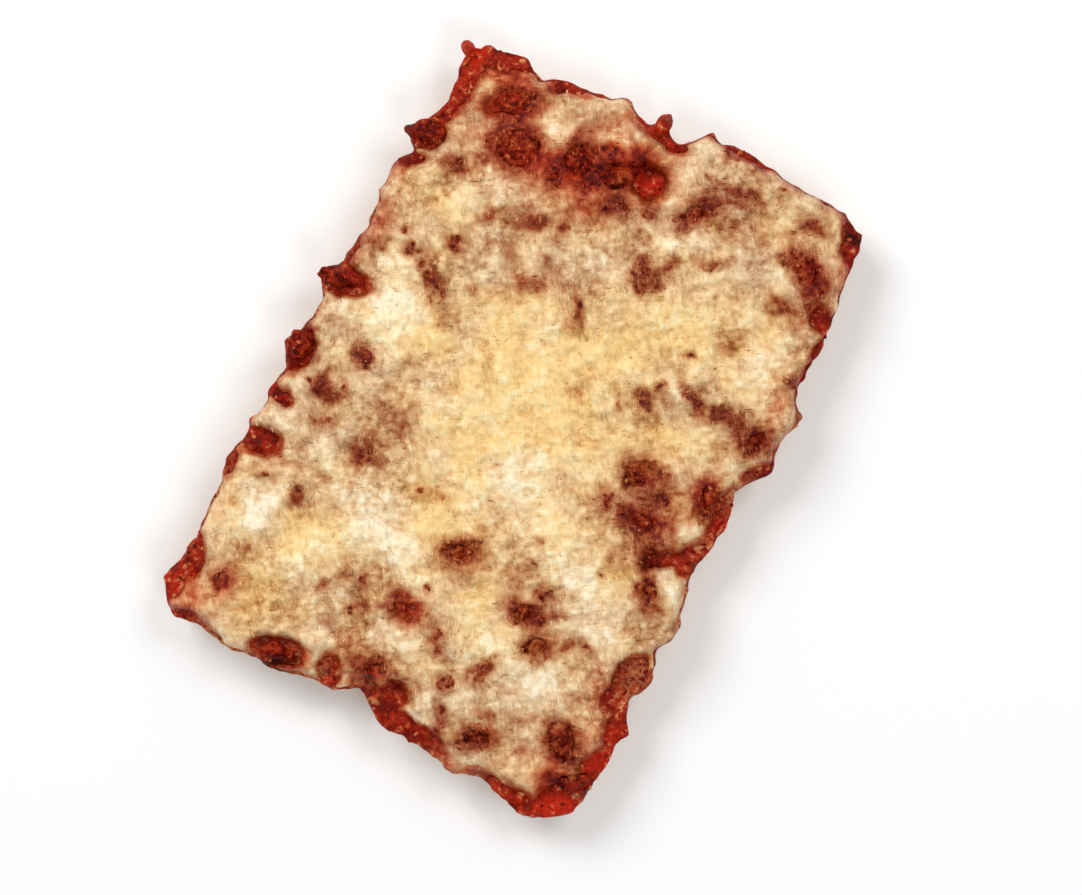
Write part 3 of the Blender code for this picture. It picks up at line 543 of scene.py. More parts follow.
def near_sauce(x, y, further=0.0):
    """Where sauce has come up through the cheese beside the bare patches."""
    away = np.full_like(x, 9.0)
    for spot in BARE_SAUCE:
        away = np.minimum(away, outside_oval(x, y, spot))
    reach = 1.0 + further + 2.2 * tint(x, y, RUST_TINTS)
    return smooth_step(1.0, 0.0, (away + 0.7 * waves(x, y, 2.6, 68)) / reach)


def bareness(x, y, spots, inner, outer):
    """1 where the crumbs lie bare, fading to 0 from inner to outer millimetres off them."""
    x, y = ragged(x, y)
    value = np.zeros_like(x)
    for spot in spots:
        strength = spot[5] if len(spot) > 5 else 1.0
        value = np.maximum(value, strength * smooth_step(outer, inner, outside_oval(x, y, spot)))
    return value


def thickness(x, y):
    """How well the cheese covers what lies under it: 1 for a thick white lump, 0 for dark meat. It also
    carries painted light and shade: paler crests, darker clefts, tan shade and pale highlights.
    """
    gold, pale = tint(x, y, GOLD_TINTS), tint(x, y, PALE_AND_HIGHLIGHT_TINTS)
    # Painted light and shade: the swells make the cheese paler on their crests and darker in their hollows,
    # over a random mottle.
    mottle_and_shading = 0.2 * lumps(x, y) + 0.1 * waves(x, y, 1.3, 93) + 0.1 * read_sheet(SHRED_TONE, x, y)
    # The tan tints darken the cheese, partly as painted shade, and the pale tints lighten it, partly as a
    # painted highlight.
    value = 0.71 + 0.03 * gold - 0.21 * tint(x, y, TAN_AND_SHADE_TINTS) - 0.13 * tint(x, y, RUST_TINTS)
    value = value + mottle_and_shading * (1 - 0.35 * gold) + 0.3 * pale
    value = value * (1 - 0.3 * rim_stain(x, y)) * (1 - 0.32 * near_sauce(x, y))
    # Painted shade: the cheese is darkened in the clefts between its small lumps.
    value = value + 0.28 * curdled(x, y) + 0.07
    patch = tint(x, y, BROWN_PATCHES)
    blotches = 0.3 * waves(x, y, 2.1, 96) + 0.2 * waves(x, y, 1.1, 97)
    value = value * (1 - 0.68 * patch * patch) + patch * blotches
    halo = np.maximum(bareness(x, y, SUNK_CRUMBS, -0.6, 2.0), bareness(x, y, CRUMBLES, 0.0, 3.0))
    return np.maximum(value * (1 - 0.35 * halo), 0.04)


def bare_meat(x, y):
    """Where meat shows, 0 to 1. Cheese has run over some of it."""
    x, y = warped(x, y, 0.8, 2.2, 55)
    value = np.maximum(bareness(x, y, SUNK_CRUMBS, -1.5, 1.7), bareness(x, y, CRUMBLES, -1.5, 2.6))
    clefts = 1 - curds(x, y, 2.1, 89)
    return value * (1 - 0.45 * clefts) * (1 - 0.5 * smooth_step(-0.1, 0.7, waves(x, y, 2.8, 99)))


def rim_stain(x, y):
    """Where sauce has come up through the thin edge of the cheese."""
    patchy = 0.5 + 0.5 * waves(x, y, 7.0, 65)
    return patchy * smooth_step(1.8, 0.0, cheese_rim(x, y) + 0.7 * waves(x, y, 2.2, 61))


def redness(x, y):
    """Where the topping is stained with sauce, 0 to 1."""
    return np.clip(1.15 * tint(x, y, RUST_TINTS), 0, 1)


def cheese_top(x, y):
    """The solid's top with melted shreds, blisters and pits where the crumbs lie."""
    rim = cheese_rim(x, y)
    rise = np.minimum(np.clip(rim / 3.0, 0, 1), 0.3 + np.clip(cheese_cover(x, y) / 1.6, 0, 1))
    rise = rise * (2 - rise)
    height = CHEESE_RIM - 0.8 * smooth_step(1.2, 0.0, rim) + rise * (CHEESE_RISE + 1.3 * lumps(x, y))
    for spot in LUMPS:
        crest = np.clip(1 - oval_radius(x, y, spot), 0, 1)
        height = height + 0.9 * rise * np.sqrt(crest) * (0.7 + 0.3 * waves(x, y, 1.2, 24))
    meat = smooth_step(0.3, 0.7, bare_meat(x, y))
    granules = 0.28 * waves(x, y, 1.1, 25) + 0.16 * waves(x, y, 0.6, 26)
    fine = read_sheet(SHRED_RELIEF, x, y) + 0.34 * waves(x, y, 1.6, 27) + 0.12 * waves(x, y, 0.8, 28)
    fine = fine + 0.55 * curdled(x, y) + 0.2
    return height + rise * ((1 - meat) * fine + meat * (granules - 0.15))


def sauce_top(x, y):
    """The solid's top with pulp, where no cheese lies on it."""
    depth = np.clip(sauce_cover(x, y) / 1.6, 0, 1)
    height = SAUCE_TOP - 1.2 + 0.85 * np.sqrt(depth) + 0.25 * waves(x, y, 3.1, 11)
    for spot in RIM_CRUMBS:
        height = np.maximum(height, SAUCE_TOP - 0.1 - 1.4 * outside_oval(x, y, spot))
    height = height + 0.9 * bareness(x, y, CRUMBLES, 0.3, 1.8)
    pulp = 0.4 * waves(x, y, 1.9, 12) + 0.2 * waves(x, y, 1.0, 13)
    bare = smooth_step(1.6, 0.4, cheese_cover(x, y))
    return np.where(bare > 0, height + bare * pulp, SAUCE_TOP - 0.5)


def plan_shift():
    """From the plan's millimetres to the frame's: the sauce is the widest layer in both."""
    x, y = grid(REACH_X, REACH_Y, 0.25)
    inside = sauce_cover(x, y) > 0
    low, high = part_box("sauce")
    shift_x = (low[0] + high[0]) / 2 / MM - (x[inside].min() + x[inside].max()) / 2
    shift_y = (low[1] + high[1]) / 2 / MM - (y[inside].min() + y[inside].max()) / 2
    return np.array([shift_x, shift_y, 0.0])


SHIFT = plan_shift()


def new_object(name, data):
    made = bpy.data.objects.new(name, data)
    bpy.context.scene.collection.objects.link(made)
    return made


def plain_mesh(piece):
    """Puts the mesh that a piece's modifiers make in the place of its own."""
    depsgraph = bpy.context.evaluated_depsgraph_get()
    mesh = bpy.data.meshes.new_from_object(piece.evaluated_get(depsgraph))
    piece.modifiers.clear()
    piece.data = mesh
    return mesh


def add_piece(name, points, faces, material, nodes=()):
    """A mesh from plan millimetres as a finished piece that rides with the slice."""
    mesh = bpy.data.meshes.new(name)
    mesh.from_pydata(((np.asarray(points) + SHIFT) * MM).tolist(), [], faces)
    mesh.update()
    mesh.shade_smooth()
    piece = new_object(name, mesh)
    piece.data.materials.append(material)
    finish_piece(piece, nodes)
    return piece


def finish_piece(piece, nodes=()):
    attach(piece, "root")
    if nodes:
        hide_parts(*nodes)


def plan_of(piece):
    """The x and y of a piece's points in the plan's millimetres, and their heights."""
    points = np.empty(len(piece.data.vertices) * 3, np.float32)
    piece.data.vertices.foreach_get("co", points)
    points = points.reshape(-1, 3).astype(float) / MM - SHIFT
    return points[:, 0], points[:, 1], points[:, 2]


def paint(piece, name, values):
    """Keeps one number for each point of a piece, for its material to read."""
    layer = piece.data.attributes.new(name, "FLOAT", "POINT")
    layer.data.foreach_set("value", np.asarray(values, np.float32))


def without_pinches(kept):
    """Drops one of each two squares that meet only at a corner."""
    for _ in range(4):
        a, b, c, d = kept[:-1, :-1], kept[1:, :-1], kept[:-1, 1:], kept[1:, 1:]
        first = a & d & ~b & ~c
        second = b & c & ~a & ~d
        kept[:-1, :-1] &= ~first
        kept[1:, :-1] &= ~second
    return kept


def slide_to_rim(x, y, cover, most):
    """Moves points onto the line where cover is zero, by at most this distance each way."""
    start_x, start_y = x.copy(), y.copy()
    for _ in range(5):
        here = cover(x, y)
        slope_x = (cover(x + 0.1, y) - here) / 0.1
        slope_y = (cover(x, y + 0.1) - here) / 0.1
        step = 0.7 * here / np.maximum(slope_x ** 2 + slope_y ** 2, 0.3)
        x = np.clip(x - step * slope_x, start_x - most, start_x + most)
        y = np.clip(y - step * slope_y, start_y - most, start_y + most)
    return x, y


def sheet_mesh(cover, top, floor, pitch):
    """Points and faces of a closed slab wherever cover is positive, flat below and shaped above by top."""
    x, y = grid(REACH_X, REACH_Y, pitch)
    kept = np.zeros(x.shape, bool)
    kept[:-1, :-1] = cover(x[:-1, :-1] + pitch / 2, y[:-1, :-1] + pitch / 2) > 0
    kept = without_pinches(kept)
    around = kept.astype(int)
    around[1:, :] += kept[:-1, :]
    around[:, 1:] += kept[:, :-1]
    around[1:, 1:] += kept[:-1, :-1]
    rim = (around > 0) & (around < 4)
    x[rim], y[rim] = slide_to_rim(x[rim], y[rim], cover, 0.45 * pitch)

    used = around > 0
    count = int(used.sum())
    number = np.full(x.shape, -1)
    number[used] = np.arange(count)
    upper = np.stack([x[used], y[used], np.maximum(top(x[used], y[used]), floor + 0.3)], axis=1)
    lower = upper.copy()
    lower[:, 2] = floor
    rim_x, rim_y = lower[rim[used], 0], lower[rim[used], 1]
    slope_x = cover(rim_x + 0.2, rim_y) - cover(rim_x - 0.2, rim_y)
    slope_y = cover(rim_x, rim_y + 0.2) - cover(rim_x, rim_y - 0.2)
    steep = np.maximum(np.hypot(slope_x, slope_y), 0.1)
    lower[rim[used], 0] += 0.35 * pitch * slope_x / steep
    lower[rim[used], 1] += 0.35 * pitch * slope_y / steep
    i, j = np.nonzero(kept)
    corners = np.stack([number[i, j], number[i + 1, j], number[i + 1, j + 1], number[i, j + 1]], axis=1)
    faces = [corners, corners[:, ::-1] + count]
    for k, (di, dj) in enumerate([(0, -1), (1, 0), (0, 1), (-1, 0)]):
        open_side = ~kept[i + di, j + dj]
        start = corners[open_side, k]
        end = corners[open_side, (k + 1) % 4]
        faces.append(np.stack([start, start + count, end + count, end], axis=1))
    return np.concatenate([upper, lower]), np.concatenate(faces).tolist()


def thin_out(piece, triangles):
    """Collapses the flattest faces until about this many triangles are left."""
    now = sum(len(face.vertices) - 2 for face in piece.data.polygons)
    fewer = piece.modifiers.new("fewer", "DECIMATE")
    fewer.ratio = min(1.0, triangles / now)
    mesh = plain_mesh(piece)
    mesh.shade_smooth()
    mesh.set_sharp_from_angle(angle=SHARP_EDGE)


def node(tree, kind, links=None, **settings):
    """Adds a node. links gives each input, by name or number, a value or another node's output."""
    made = tree.nodes.new(kind)
    for key, value in settings.items():
        setattr(made, key, value)
    for key, value in (links or {}).items():
        if isinstance(value, bpy.types.NodeSocket):
            tree.links.new(value, made.inputs[key])
        else:
            made.inputs[key].default_value = value
    return made


def maths(tree, operation, a, b=0.0, clamp=False):
    return node(tree, "ShaderNodeMath", {0: a, 1: b}, operation=operation, use_clamp=clamp).outputs[0]


def total(tree, first, *others):
    for other in others:
        first = maths(tree, "ADD", first, other)
    return first


def times(tree, a, b):
    return maths(tree, "MULTIPLY", a, b)


def swing(tree, value, weight):
    """How far a number is from 0.5, times weight."""
    return times(tree, maths(tree, "SUBTRACT", value, 0.5), weight)


def mix(tree, share, a, b):
    """Colour a where share is 0, colour b where it is 1."""
    return node(tree, "ShaderNodeMix", {0: share, 6: a, 7: b}, data_type="RGBA").outputs[2]


def ramp(tree, value, low, high, start=0.0, end=1.0):
    """A number that goes smoothly from start to end as value goes from low to high."""
    ends = {"From Min": low, "From Max": high, "To Min": start, "To Max": end}
    made = node(tree, "ShaderNodeMapRange", {"Value": value, **ends}, interpolation_type="SMOOTHSTEP")
    return made.outputs["Result"]


def speckle(tree, place, size, detail=2.0, roughness=0.5):
    """Noise about 0.5 whose lumps are about size millimetres across."""
    return node(tree, "ShaderNodeTexNoise", {"Vector": place, "Scale": 1.0 / size, "Detail": detail,
                                             "Roughness": roughness}).outputs["Fac"]


def pulled(tree, place, turn, length, width):
    """Noise drawn out into streaks that run at an angle, in degrees."""
    drawn = {"Rotation": (0, 0, math.radians(turn)), "Scale": (length, width, 1.0)}
    along = node(tree, "ShaderNodeMapping", {"Vector": place, **drawn}, vector_type="TEXTURE").outputs[0]
    return speckle(tree, along, 1.0)


def place_in_mm(tree):
    """Object coordinates in millimetres."""
    where = node(tree, "ShaderNodeTexCoord").outputs["Object"]
    return node(tree, "ShaderNodeVectorMath", {0: where, 1: (1 / MM, 1 / MM, 1 / MM)},
                operation="MULTIPLY").outputs[0]


def painted(tree, name):
    return node(tree, "ShaderNodeAttribute", attribute_name=name).outputs["Fac"]


def colour(red, green, blue):
    """A colour given as it looks on screen, from 0 to 255, as the shader's linear one."""
    shares = [value / 255 for value in (red, green, blue)]
    return (*[s / 12.92 if s <= 0.04045 else ((s + 0.055) / 1.055) ** 2.4 for s in shares], 1.0)


def new_group(name, numbers, outputs):
    """A shader group with inputs for the place and for numbers, and outputs for the colour and numbers."""
    tree = bpy.data.node_groups.new(name, "ShaderNodeTree")
    tree.interface.new_socket("Place", in_out="INPUT", socket_type="NodeSocketVector")
    for label in numbers:
        tree.interface.new_socket(label, in_out="INPUT", socket_type="NodeSocketFloat")
    tree.interface.new_socket("Colour", in_out="OUTPUT", socket_type="NodeSocketColor")
    for label in outputs:
        tree.interface.new_socket(label, in_out="OUTPUT", socket_type="NodeSocketFloat")
    given = tree.nodes.new("NodeGroupInput").outputs
    return tree, given, tree.nodes.new("NodeGroupOutput").inputs


def tones(tree, value, steps):
    """A colour from a row of them, as (place from 0 to 1, colour)."""
    made = node(tree, "ShaderNodeValToRGB", {"Fac": value})
    row = made.color_ramp.elements
    for _ in steps[2:]:
        row.new(0.5)
    for element, step in zip(row, steps):
        element.position = step[0]
    for element, step in zip(row, steps):
        element.color = colour(*step[1])
    return made.outputs["Color"]


def topping_group():
    """Baked cheese over meat: from maroon meat through brown and tan to thick cream lumps, with painted
    glints and painted shade in thin seams.
    """
    tree, given, result = new_group("baked topping", ["Cover", "Bare", "Lift", "Gold", "Stain"],
                                    ["Height", "Roughness"])
    place = given["Place"]
    streaks = mix(tree, ramp(tree, speckle(tree, place, 7.0, 1.0), 0.47, 0.53),
                  pulled(tree, place, -52, 3.2, 0.8), pulled(tree, place, 32, 3.2, 0.8))
    # Painted highlight: short pale glints that lighten the cheese and the meat
    glints = ramp(tree, pulled(tree, place, -60, 1.6, 0.35), 0.6, 0.72)
    middle = speckle(tree, place, 1.4, 3.0, 0.6)
    fine = speckle(tree, place, 0.4, 3.0, 0.6)
    # Painted shade: thin dark seams in patches, darkened as grooves where shade falls
    shaded_seams = times(tree, ramp(tree, pulled(tree, place, 28, 1.9, 0.45), 0.38, 0.26),
                  ramp(tree, speckle(tree, place, 4.0, 1.0), 0.44, 0.6, 0.0, 0.3))
    glints_and_shaded_seams = maths(tree, "SUBTRACT", times(tree, glints, 0.24), shaded_seams)
    rough = total(tree, swing(tree, streaks, 0.38), swing(tree, middle, 0.52), swing(tree, fine, 0.3))
    cover = total(tree, given["Cover"], total(tree, rough, glints_and_shaded_seams))
    edge = total(tree, given["Bare"], swing(tree, middle, 0.9), swing(tree, fine, 0.6))
    bare = ramp(tree, edge, 0.2, 0.82)
    # The meat is lightened by the painted glints and by pale specks that are partly fat and partly a
    # painted highlight
    meat = total(tree, ramp(tree, speckle(tree, place, 1.2, 3.0, 0.65), 0.34, 0.66, -0.07, 0.26),
                 given["Lift"], times(tree, glints, 0.3),
                 ramp(tree, speckle(tree, place, 0.9, 2.0, 0.6), 0.58, 0.7, 0.0, 0.3))
    cover = total(tree, cover, times(tree, bare, maths(tree, "SUBTRACT", meat, cover)))
    plain = tones(tree, cover, [(0.0, (70, 8, 1)), (0.12, (106, 25, 5)), (0.25, (138, 62, 30)),
                                (0.4, (166, 110, 72)), (0.55, (193, 148, 106)), (0.7, (217, 181, 140)),
                                (0.85, (238, 210, 168)), (1.0, (252, 238, 208))])
    golden = tones(tree, cover, [(0.0, (72, 16, 4)), (0.25, (150, 84, 34)), (0.5, (210, 160, 94)),
                                 (0.7, (240, 201, 134)), (0.85, (248, 216, 152)), (1.0, (254, 236, 188))])
    stained = tones(tree, cover, [(0.0, (68, 6, 2)), (0.15, (122, 20, 5)), (0.35, (170, 54, 20)),
                                  (0.6, (204, 116, 68)), (0.8, (224, 164, 112)), (1.0, (246, 214, 168))])
    base = mix(tree, given["Gold"], plain, golden)
    base = mix(tree, given["Stain"], base, stained)
    tree.links.new(base, result["Colour"])
    height = total(tree, times(tree, glints_and_shaded_seams, 1.2), times(tree, fine, 0.6), times(tree, middle, 0.6))
    tree.links.new(height, result["Height"])
    tree.links.new(ramp(tree, middle, 0.3, 0.7, 0.3, 0.5), result["Roughness"])
    return tree


def sauce_group():
    """Baked tomato sauce: deep red, brighter where it is wet, nearly black where it has caught, with orange
    pulp specks on its crests that are partly a painted highlight.
    """
    tree, given, result = new_group("sauce surface", ["Char", "Bright", "Film"], ["Height"])
    place = given["Place"]
    coarse = speckle(tree, place, 2.6, 3.0, 0.6)
    pulp = speckle(tree, place, 0.9, 4.0, 0.65)
    base = mix(tree, ramp(tree, coarse, 0.36, 0.62), colour(104, 14, 4), colour(160, 34, 10))
    wet = total(tree, given["Bright"], maths(tree, "SUBTRACT", coarse, 0.55))
    base = mix(tree, ramp(tree, wet, 0.0, 0.9), base, colour(190, 36, 12))
    # Orange pulp specks on the crests of the bump, partly a painted highlight
    base = mix(tree, ramp(tree, pulp, 0.57, 0.72, 0.0, 0.55), base, colour(206, 98, 50))
    base = mix(tree, ramp(tree, pulp, 0.44, 0.34, 0.0, 0.5), base, colour(84, 10, 4))
    film = maths(tree, "ADD", ramp(tree, coarse, 0.56, 0.7), given["Film"], clamp=True)
    film = times(tree, film, ramp(tree, pulp, 0.38, 0.56))
    base = mix(tree, film, base, colour(212, 148, 98))
    burnt = total(tree, given["Char"], maths(tree, "SUBTRACT", pulp, 0.5))
    base = mix(tree, ramp(tree, burnt, 0.35, 0.8), base, colour(58, 12, 5))
    tree.links.new(base, result["Colour"])
    tree.links.new(pulp, result["Height"])
    return tree


TOPPING = topping_group()
SAUCE_SURFACE = sauce_group()


def new_material(name, roughness, **constants):
    """A material with its Principled BSDF and the numbers that are the same all over it."""
    material = bpy.data.materials.new(name)
    material.use_nodes = True
    shader = material.node_tree.nodes["Principled BSDF"]
    shader.inputs["Roughness"].default_value = roughness
    for label, value in constants.items():
        shader.inputs[label.replace("_", " ")].default_value = value
    return material, material.node_tree, shader


def wire(tree, shader, base, height=None, bump=0.3, reach=0.4, roughness=None):
    """Feeds a shader its colour, its bump, deepest reach millimetres, and its roughness."""
    tree.links.new(base, shader.inputs["Base Color"])
    if height is not None:
        relief = node(tree, "ShaderNodeBump", {"Strength": bump, "Distance": reach * MM, "Height": height})
        tree.links.new(relief.outputs["Normal"], shader.inputs["Normal"])
    if roughness is not None:
        tree.links.new(roughness, shader.inputs["Roughness"])


def painted_surface(tree, group, *labels):
    """A shader group that reads the numbers painted on a piece under its inputs' names."""
    numbers = {label: painted(tree, label.lower()) for label in labels}
    return node(tree, "ShaderNodeGroup", {"Place": place_in_mm(tree), **numbers}, node_tree=group).outputs


def topping_material(name, **constants):
    material, tree, shader = new_material(name, 0.4, **constants)
    surface = painted_surface(tree, TOPPING, "Cover", "Bare", "Lift", "Gold", "Stain")
    wire(tree, shader, surface["Colour"], surface["Height"], 0.55, 0.45, surface["Roughness"])
    return material


def sauce_material():
    material, tree, shader = new_material("tomato sauce", 0.3, Specular_IOR_Level=0.07)
    surface = painted_surface(tree, SAUCE_SURFACE, "Char", "Bright", "Film")
    roughness = ramp(tree, surface["Height"], 0.35, 0.7, 0.45, 0.22)
    wire(tree, shader, surface["Colour"], surface["Height"], 0.6, 0.6, roughness)
    return material


def bread_material():
    """Golden crumb at the side, a browned underside, and sauce soaked into the upper edge. The open pores
    are darkened with painted shade.
    """
    material, tree, shader = new_material("baked bread", 0.8, Specular_IOR_Level=0.3)
    place = place_in_mm(tree)
    height = node(tree, "ShaderNodeSeparateXYZ", {0: place}).outputs["Z"]
    broad = speckle(tree, place, 7.0, 3.0)
    middle = speckle(tree, place, 1.6, 4.0, 0.6)
    fine = speckle(tree, place, 0.4, 3.0, 0.6)
    base = mix(tree, ramp(tree, broad, 0.3, 0.7), colour(232, 190, 130), colour(206, 146, 84))
    base = mix(tree, ramp(tree, middle, 0.5, 0.7, 0.0, 0.7), base, colour(246, 220, 172))
    base = mix(tree, ramp(tree, fine, 0.5, 0.35, 0.0, 0.4), base, colour(176, 118, 62))
    # Painted shade: the open pores of the crumb are darkened
    base = mix(tree, ramp(tree, painted(tree, "pore"), 0.15, 0.9, 0.0, 0.7), base, colour(158, 104, 54))
    low = maths(tree, "SUBTRACT", times(tree, broad, 3.0), height)
    base = mix(tree, ramp(tree, low, -1.6, 1.2, 0.0, 0.9), base, colour(150, 88, 38))
    soaked = total(tree, height, swing(tree, broad, 6.0))
    base = mix(tree, ramp(tree, soaked, 7.6, 10.2, 0.0, 0.85), base, colour(150, 56, 26))
    base = mix(tree, ramp(tree, painted(tree, "toast"), 0.35, 0.8, 0.0, 0.8), base, colour(104, 54, 22))
    relief = total(tree, times(tree, middle, 0.7), times(tree, fine, 0.5))
    wire(tree, shader, base, relief, 0.6, 0.5)
    return material


CHEESE = topping_material("melted cheese", Specular_IOR_Level=0.14, Subsurface_Weight=0.08,
                          Subsurface_Scale=0.0012, Subsurface_Radius=(1.0, 0.5, 0.25))
MEAT = topping_material("browned meat", Specular_IOR_Level=0.06)
SAUCE = sauce_material()
BREAD = bread_material()


def meat_lift(x, y):
    """How much lighter or darker than usual the meat is."""
    return 0.1 * tint(x, y, RED_MEAT) - 0.13 * tint(x, y, BLACK_MEAT)


def paint_topping(piece):
    x, y, _ = plan_of(piece)
    paint(piece, "cover", thickness(x, y))
    paint(piece, "bare", bare_meat(x, y))
    paint(piece, "lift", meat_lift(x, y))
    gold = 1.2 * tint(x, y, GOLD_TINTS) + 0.2 + 0.3 * waves(x, y, 5.0, 69) - 0.6 * tint(x, y, PALE_AND_HIGHLIGHT_TINTS)
    paint(piece, "gold", np.clip(gold, 0, 1))
    red = (0.55 + 0.45 * waves(x, y, 2.6, 64)) * bare_meat(x, y)
    stain = np.maximum(redness(x, y), 0.7 * rim_stain(x, y))
    paint(piece, "stain", np.clip(np.maximum(np.maximum(stain, 0.95 * near_sauce(x, y)), red), 0, 1))


def make_cheese():
    points, faces = sheet_mesh(cheese_cover, cheese_top, CHEESE_SKIRT, CHEESE_PITCH)
    piece = add_piece("melted_cheese", points, faces, CHEESE, ["cheese"])
    thin_out(piece, CHEESE_TRIANGLES)
    paint_topping(piece)
    return piece


def make_sauce():
    points, faces = sheet_mesh(sauce_cover, sauce_top, SAUCE_SKIRT, SAUCE_PITCH)
    piece = add_piece("tomato_sauce", points, faces, SAUCE, ["sauce"])
    thin_out(piece, SAUCE_TRIANGLES)
    x, y, _ = plan_of(piece)
    rim = smooth_step(2.0, 0.0, inside_sides(x, y) + 0.9 * waves(x, y, 5, 62))
    patchy = np.clip(0.3 + 0.6 * waves(x, y, 6, 63) + 0.3 * waves(x, y, 1.5, 67), 0, 1)
    caught = tint(x, y, CAUGHT_SAUCE) * (0.8 + 0.3 * waves(x, y, 1.8, 70))
    paint(piece, "char", np.maximum(0.5 * rim * patchy, caught))
    paint(piece, "bright", tint(x, y, BRIGHT_SAUCE))
    film = (1 - near_sauce(x, y, 3.4)) * (0.8 + 0.4 * waves(x, y, 4.0, 66))
    paint(piece, "film", np.maximum(film, tint(x, y, FILMED_SAUCE)))
    return piece


def make_bread():
    """The side lofted in rings with open pores, then rings across the underside to its middle."""
    count = BREAD_STEPS
    levels = np.linspace(0, CRUST_TOP, BREAD_LEVELS)
    corners = np.cumsum([0, 2 * HALF_LENGTH, 2 * HALF_WIDTH, 2 * HALF_LENGTH, 2 * HALF_WIDTH])
    walk = np.arange(count) / count * corners[-1]
    aim_x = np.interp(walk, corners, np.multiply(HALF_WIDTH, [1, 1, -1, -1, 1]))
    aim_y = np.interp(walk, corners, np.multiply(HALF_LENGTH, [-1, 1, 1, -1, -1]))
    length = np.hypot(aim_x, aim_y)
    aim_x, aim_y = aim_x / length, aim_y / length
    reach = np.arange(30, 98, 0.05)[:, None]
    depth = inside_sides(aim_x * reach, aim_y * reach, 0.35)
    heights, insets = zip(*CRUST_PROFILE)

    def ring(z, inset, rough):
        outermost = np.where(depth > 0.6 + inset + rough, reach, 0).max(axis=0)
        return np.stack([aim_x * outermost, aim_y * outermost, np.full(count, z)], axis=1)

    rings, pores = [], []
    for z in levels[::-1]:
        open_crumb = smooth_step(0.6, 2.0, z) * smooth_step(CRUST_TOP, CRUST_TOP - 0.8, z)
        small = smooth_step(0.15, 0.6, waves(walk, np.full(count, z * 1.3), 1.6, 71))
        large = smooth_step(0.35, 0.8, waves(walk, np.full(count, z * 1.7), 4.0, 72))
        pore = open_crumb * np.maximum(0.55 * small, large)
        lumpy = 0.3 * waves(walk, np.full(count, z * 3), 3.4, 31) * smooth_step(0, 1, z)
        rings.append(ring(z, np.interp(z, heights, insets), 0.9 * pore + lumpy))
        pores.append(pore)
    foot = rings[-1]
    for share in np.linspace(1, 0, FOOT_RINGS + 2)[1:-1]:
        circle = foot * [share, share, 1]
        inward = smooth_step(1.0, 0.97, share)
        circle[:, 2] = inward * 0.35 * smooth_step(0.2, 0.7, waves(circle[:, 0], circle[:, 1], 4.0, 73))
        rings.append(circle)
        pores.append(np.zeros(count))
    points = np.concatenate(rings + [np.array([[0, 0, CRUST_TOP], [0, 0, 0]])])
    k = np.arange(count)
    after = (k + 1) % count
    faces = []
    for level in range(len(rings) - 1):
        a, b = level * count, (level + 1) * count
        faces.append(np.stack([a + k, b + k, b + after, a + after], axis=1))
    faces = np.concatenate(faces).tolist()
    top_middle, foot_middle = len(points) - 2, len(points) - 1
    last = (len(rings) - 1) * count
    faces += [[top_middle, int(n), int(m)] for n, m in zip(k, after)]
    faces += [[foot_middle, last + int(m), last + int(n)] for n, m in zip(k, after)]
    piece = add_piece("bread_base", points, faces, BREAD, ["crust"])
    # The pores' depth, which the bread's material paints as shade
    paint(piece, "pore", np.concatenate(pores + [np.zeros(2)]))
    x, y, z = plan_of(piece)
    spots = 0.5 + 0.5 * waves(x, y, 9, 74) + 0.35 * waves(x, y, 3, 75)
    paint(piece, "toast", np.clip(spots, 0, 1) * smooth_step(1.6, 0.2, z))
    return piece


def make_crumbles():
    """Each larger crumble: a ragged ball of grains in its oval, flat below."""
    template = bmesh.new()
    bmesh.ops.create_icosphere(template, subdivisions=5, radius=1)
    template.verts.ensure_lookup_table()
    ball = np.array([v.co[:] for v in template.verts])
    faces = [[v.index for v in face.verts] for face in template.faces]
    template.free()
    for number, (at_x, at_y, half_length, half_width, turn) in enumerate(CRUMBLES, 1):
        rough = waves(ball[:, 0] + 3 * ball[:, 2], ball[:, 1] - 2 * ball[:, 2], 0.55, 100 + number)
        share = 0.9 + 0.13 * rough
        tall = 1.6 + 0.55 * half_width
        size = np.array([half_length, half_width, tall])
        grains = np.array([noise.voronoi(Vector(p * size * 0.75 + number * 9))[0][0] for p in ball])
        share = share + (0.12 - 0.22 * grains) * 1.6 / (1.6 + half_width * 0.3)
        u = ball[:, 0] * share * half_length
        v = ball[:, 1] * share * half_width
        z = np.maximum(ball[:, 2] * share + 0.55, -0.2) / 1.55 * (tall + 0.5)
        c, s = math.cos(math.radians(turn)), math.sin(math.radians(turn))
        x, y = at_x + u * c - v * s, at_y + u * s + v * c
        pushed_x, pushed_y = ragged(x, y)
        points = np.stack([2 * x - pushed_x, 2 * y - pushed_y, CRUMBLE_FLOOR - 0.5 + z], axis=1)
        name = f"crumble_{number:02d}"
        piece = add_piece("meat_" + name, points, faces, MEAT, [name])
        paint_topping(piece)


def random_number(tree, low, high, seed):
    return node(tree, "FunctionNodeRandomValue", {2: low, 3: high, 8: seed}, data_type="FLOAT").outputs[1]


def join_numbers(tree, x, y, z):
    return node(tree, "ShaderNodeCombineXYZ", {0: x, 1: y, 2: z}).outputs[0]


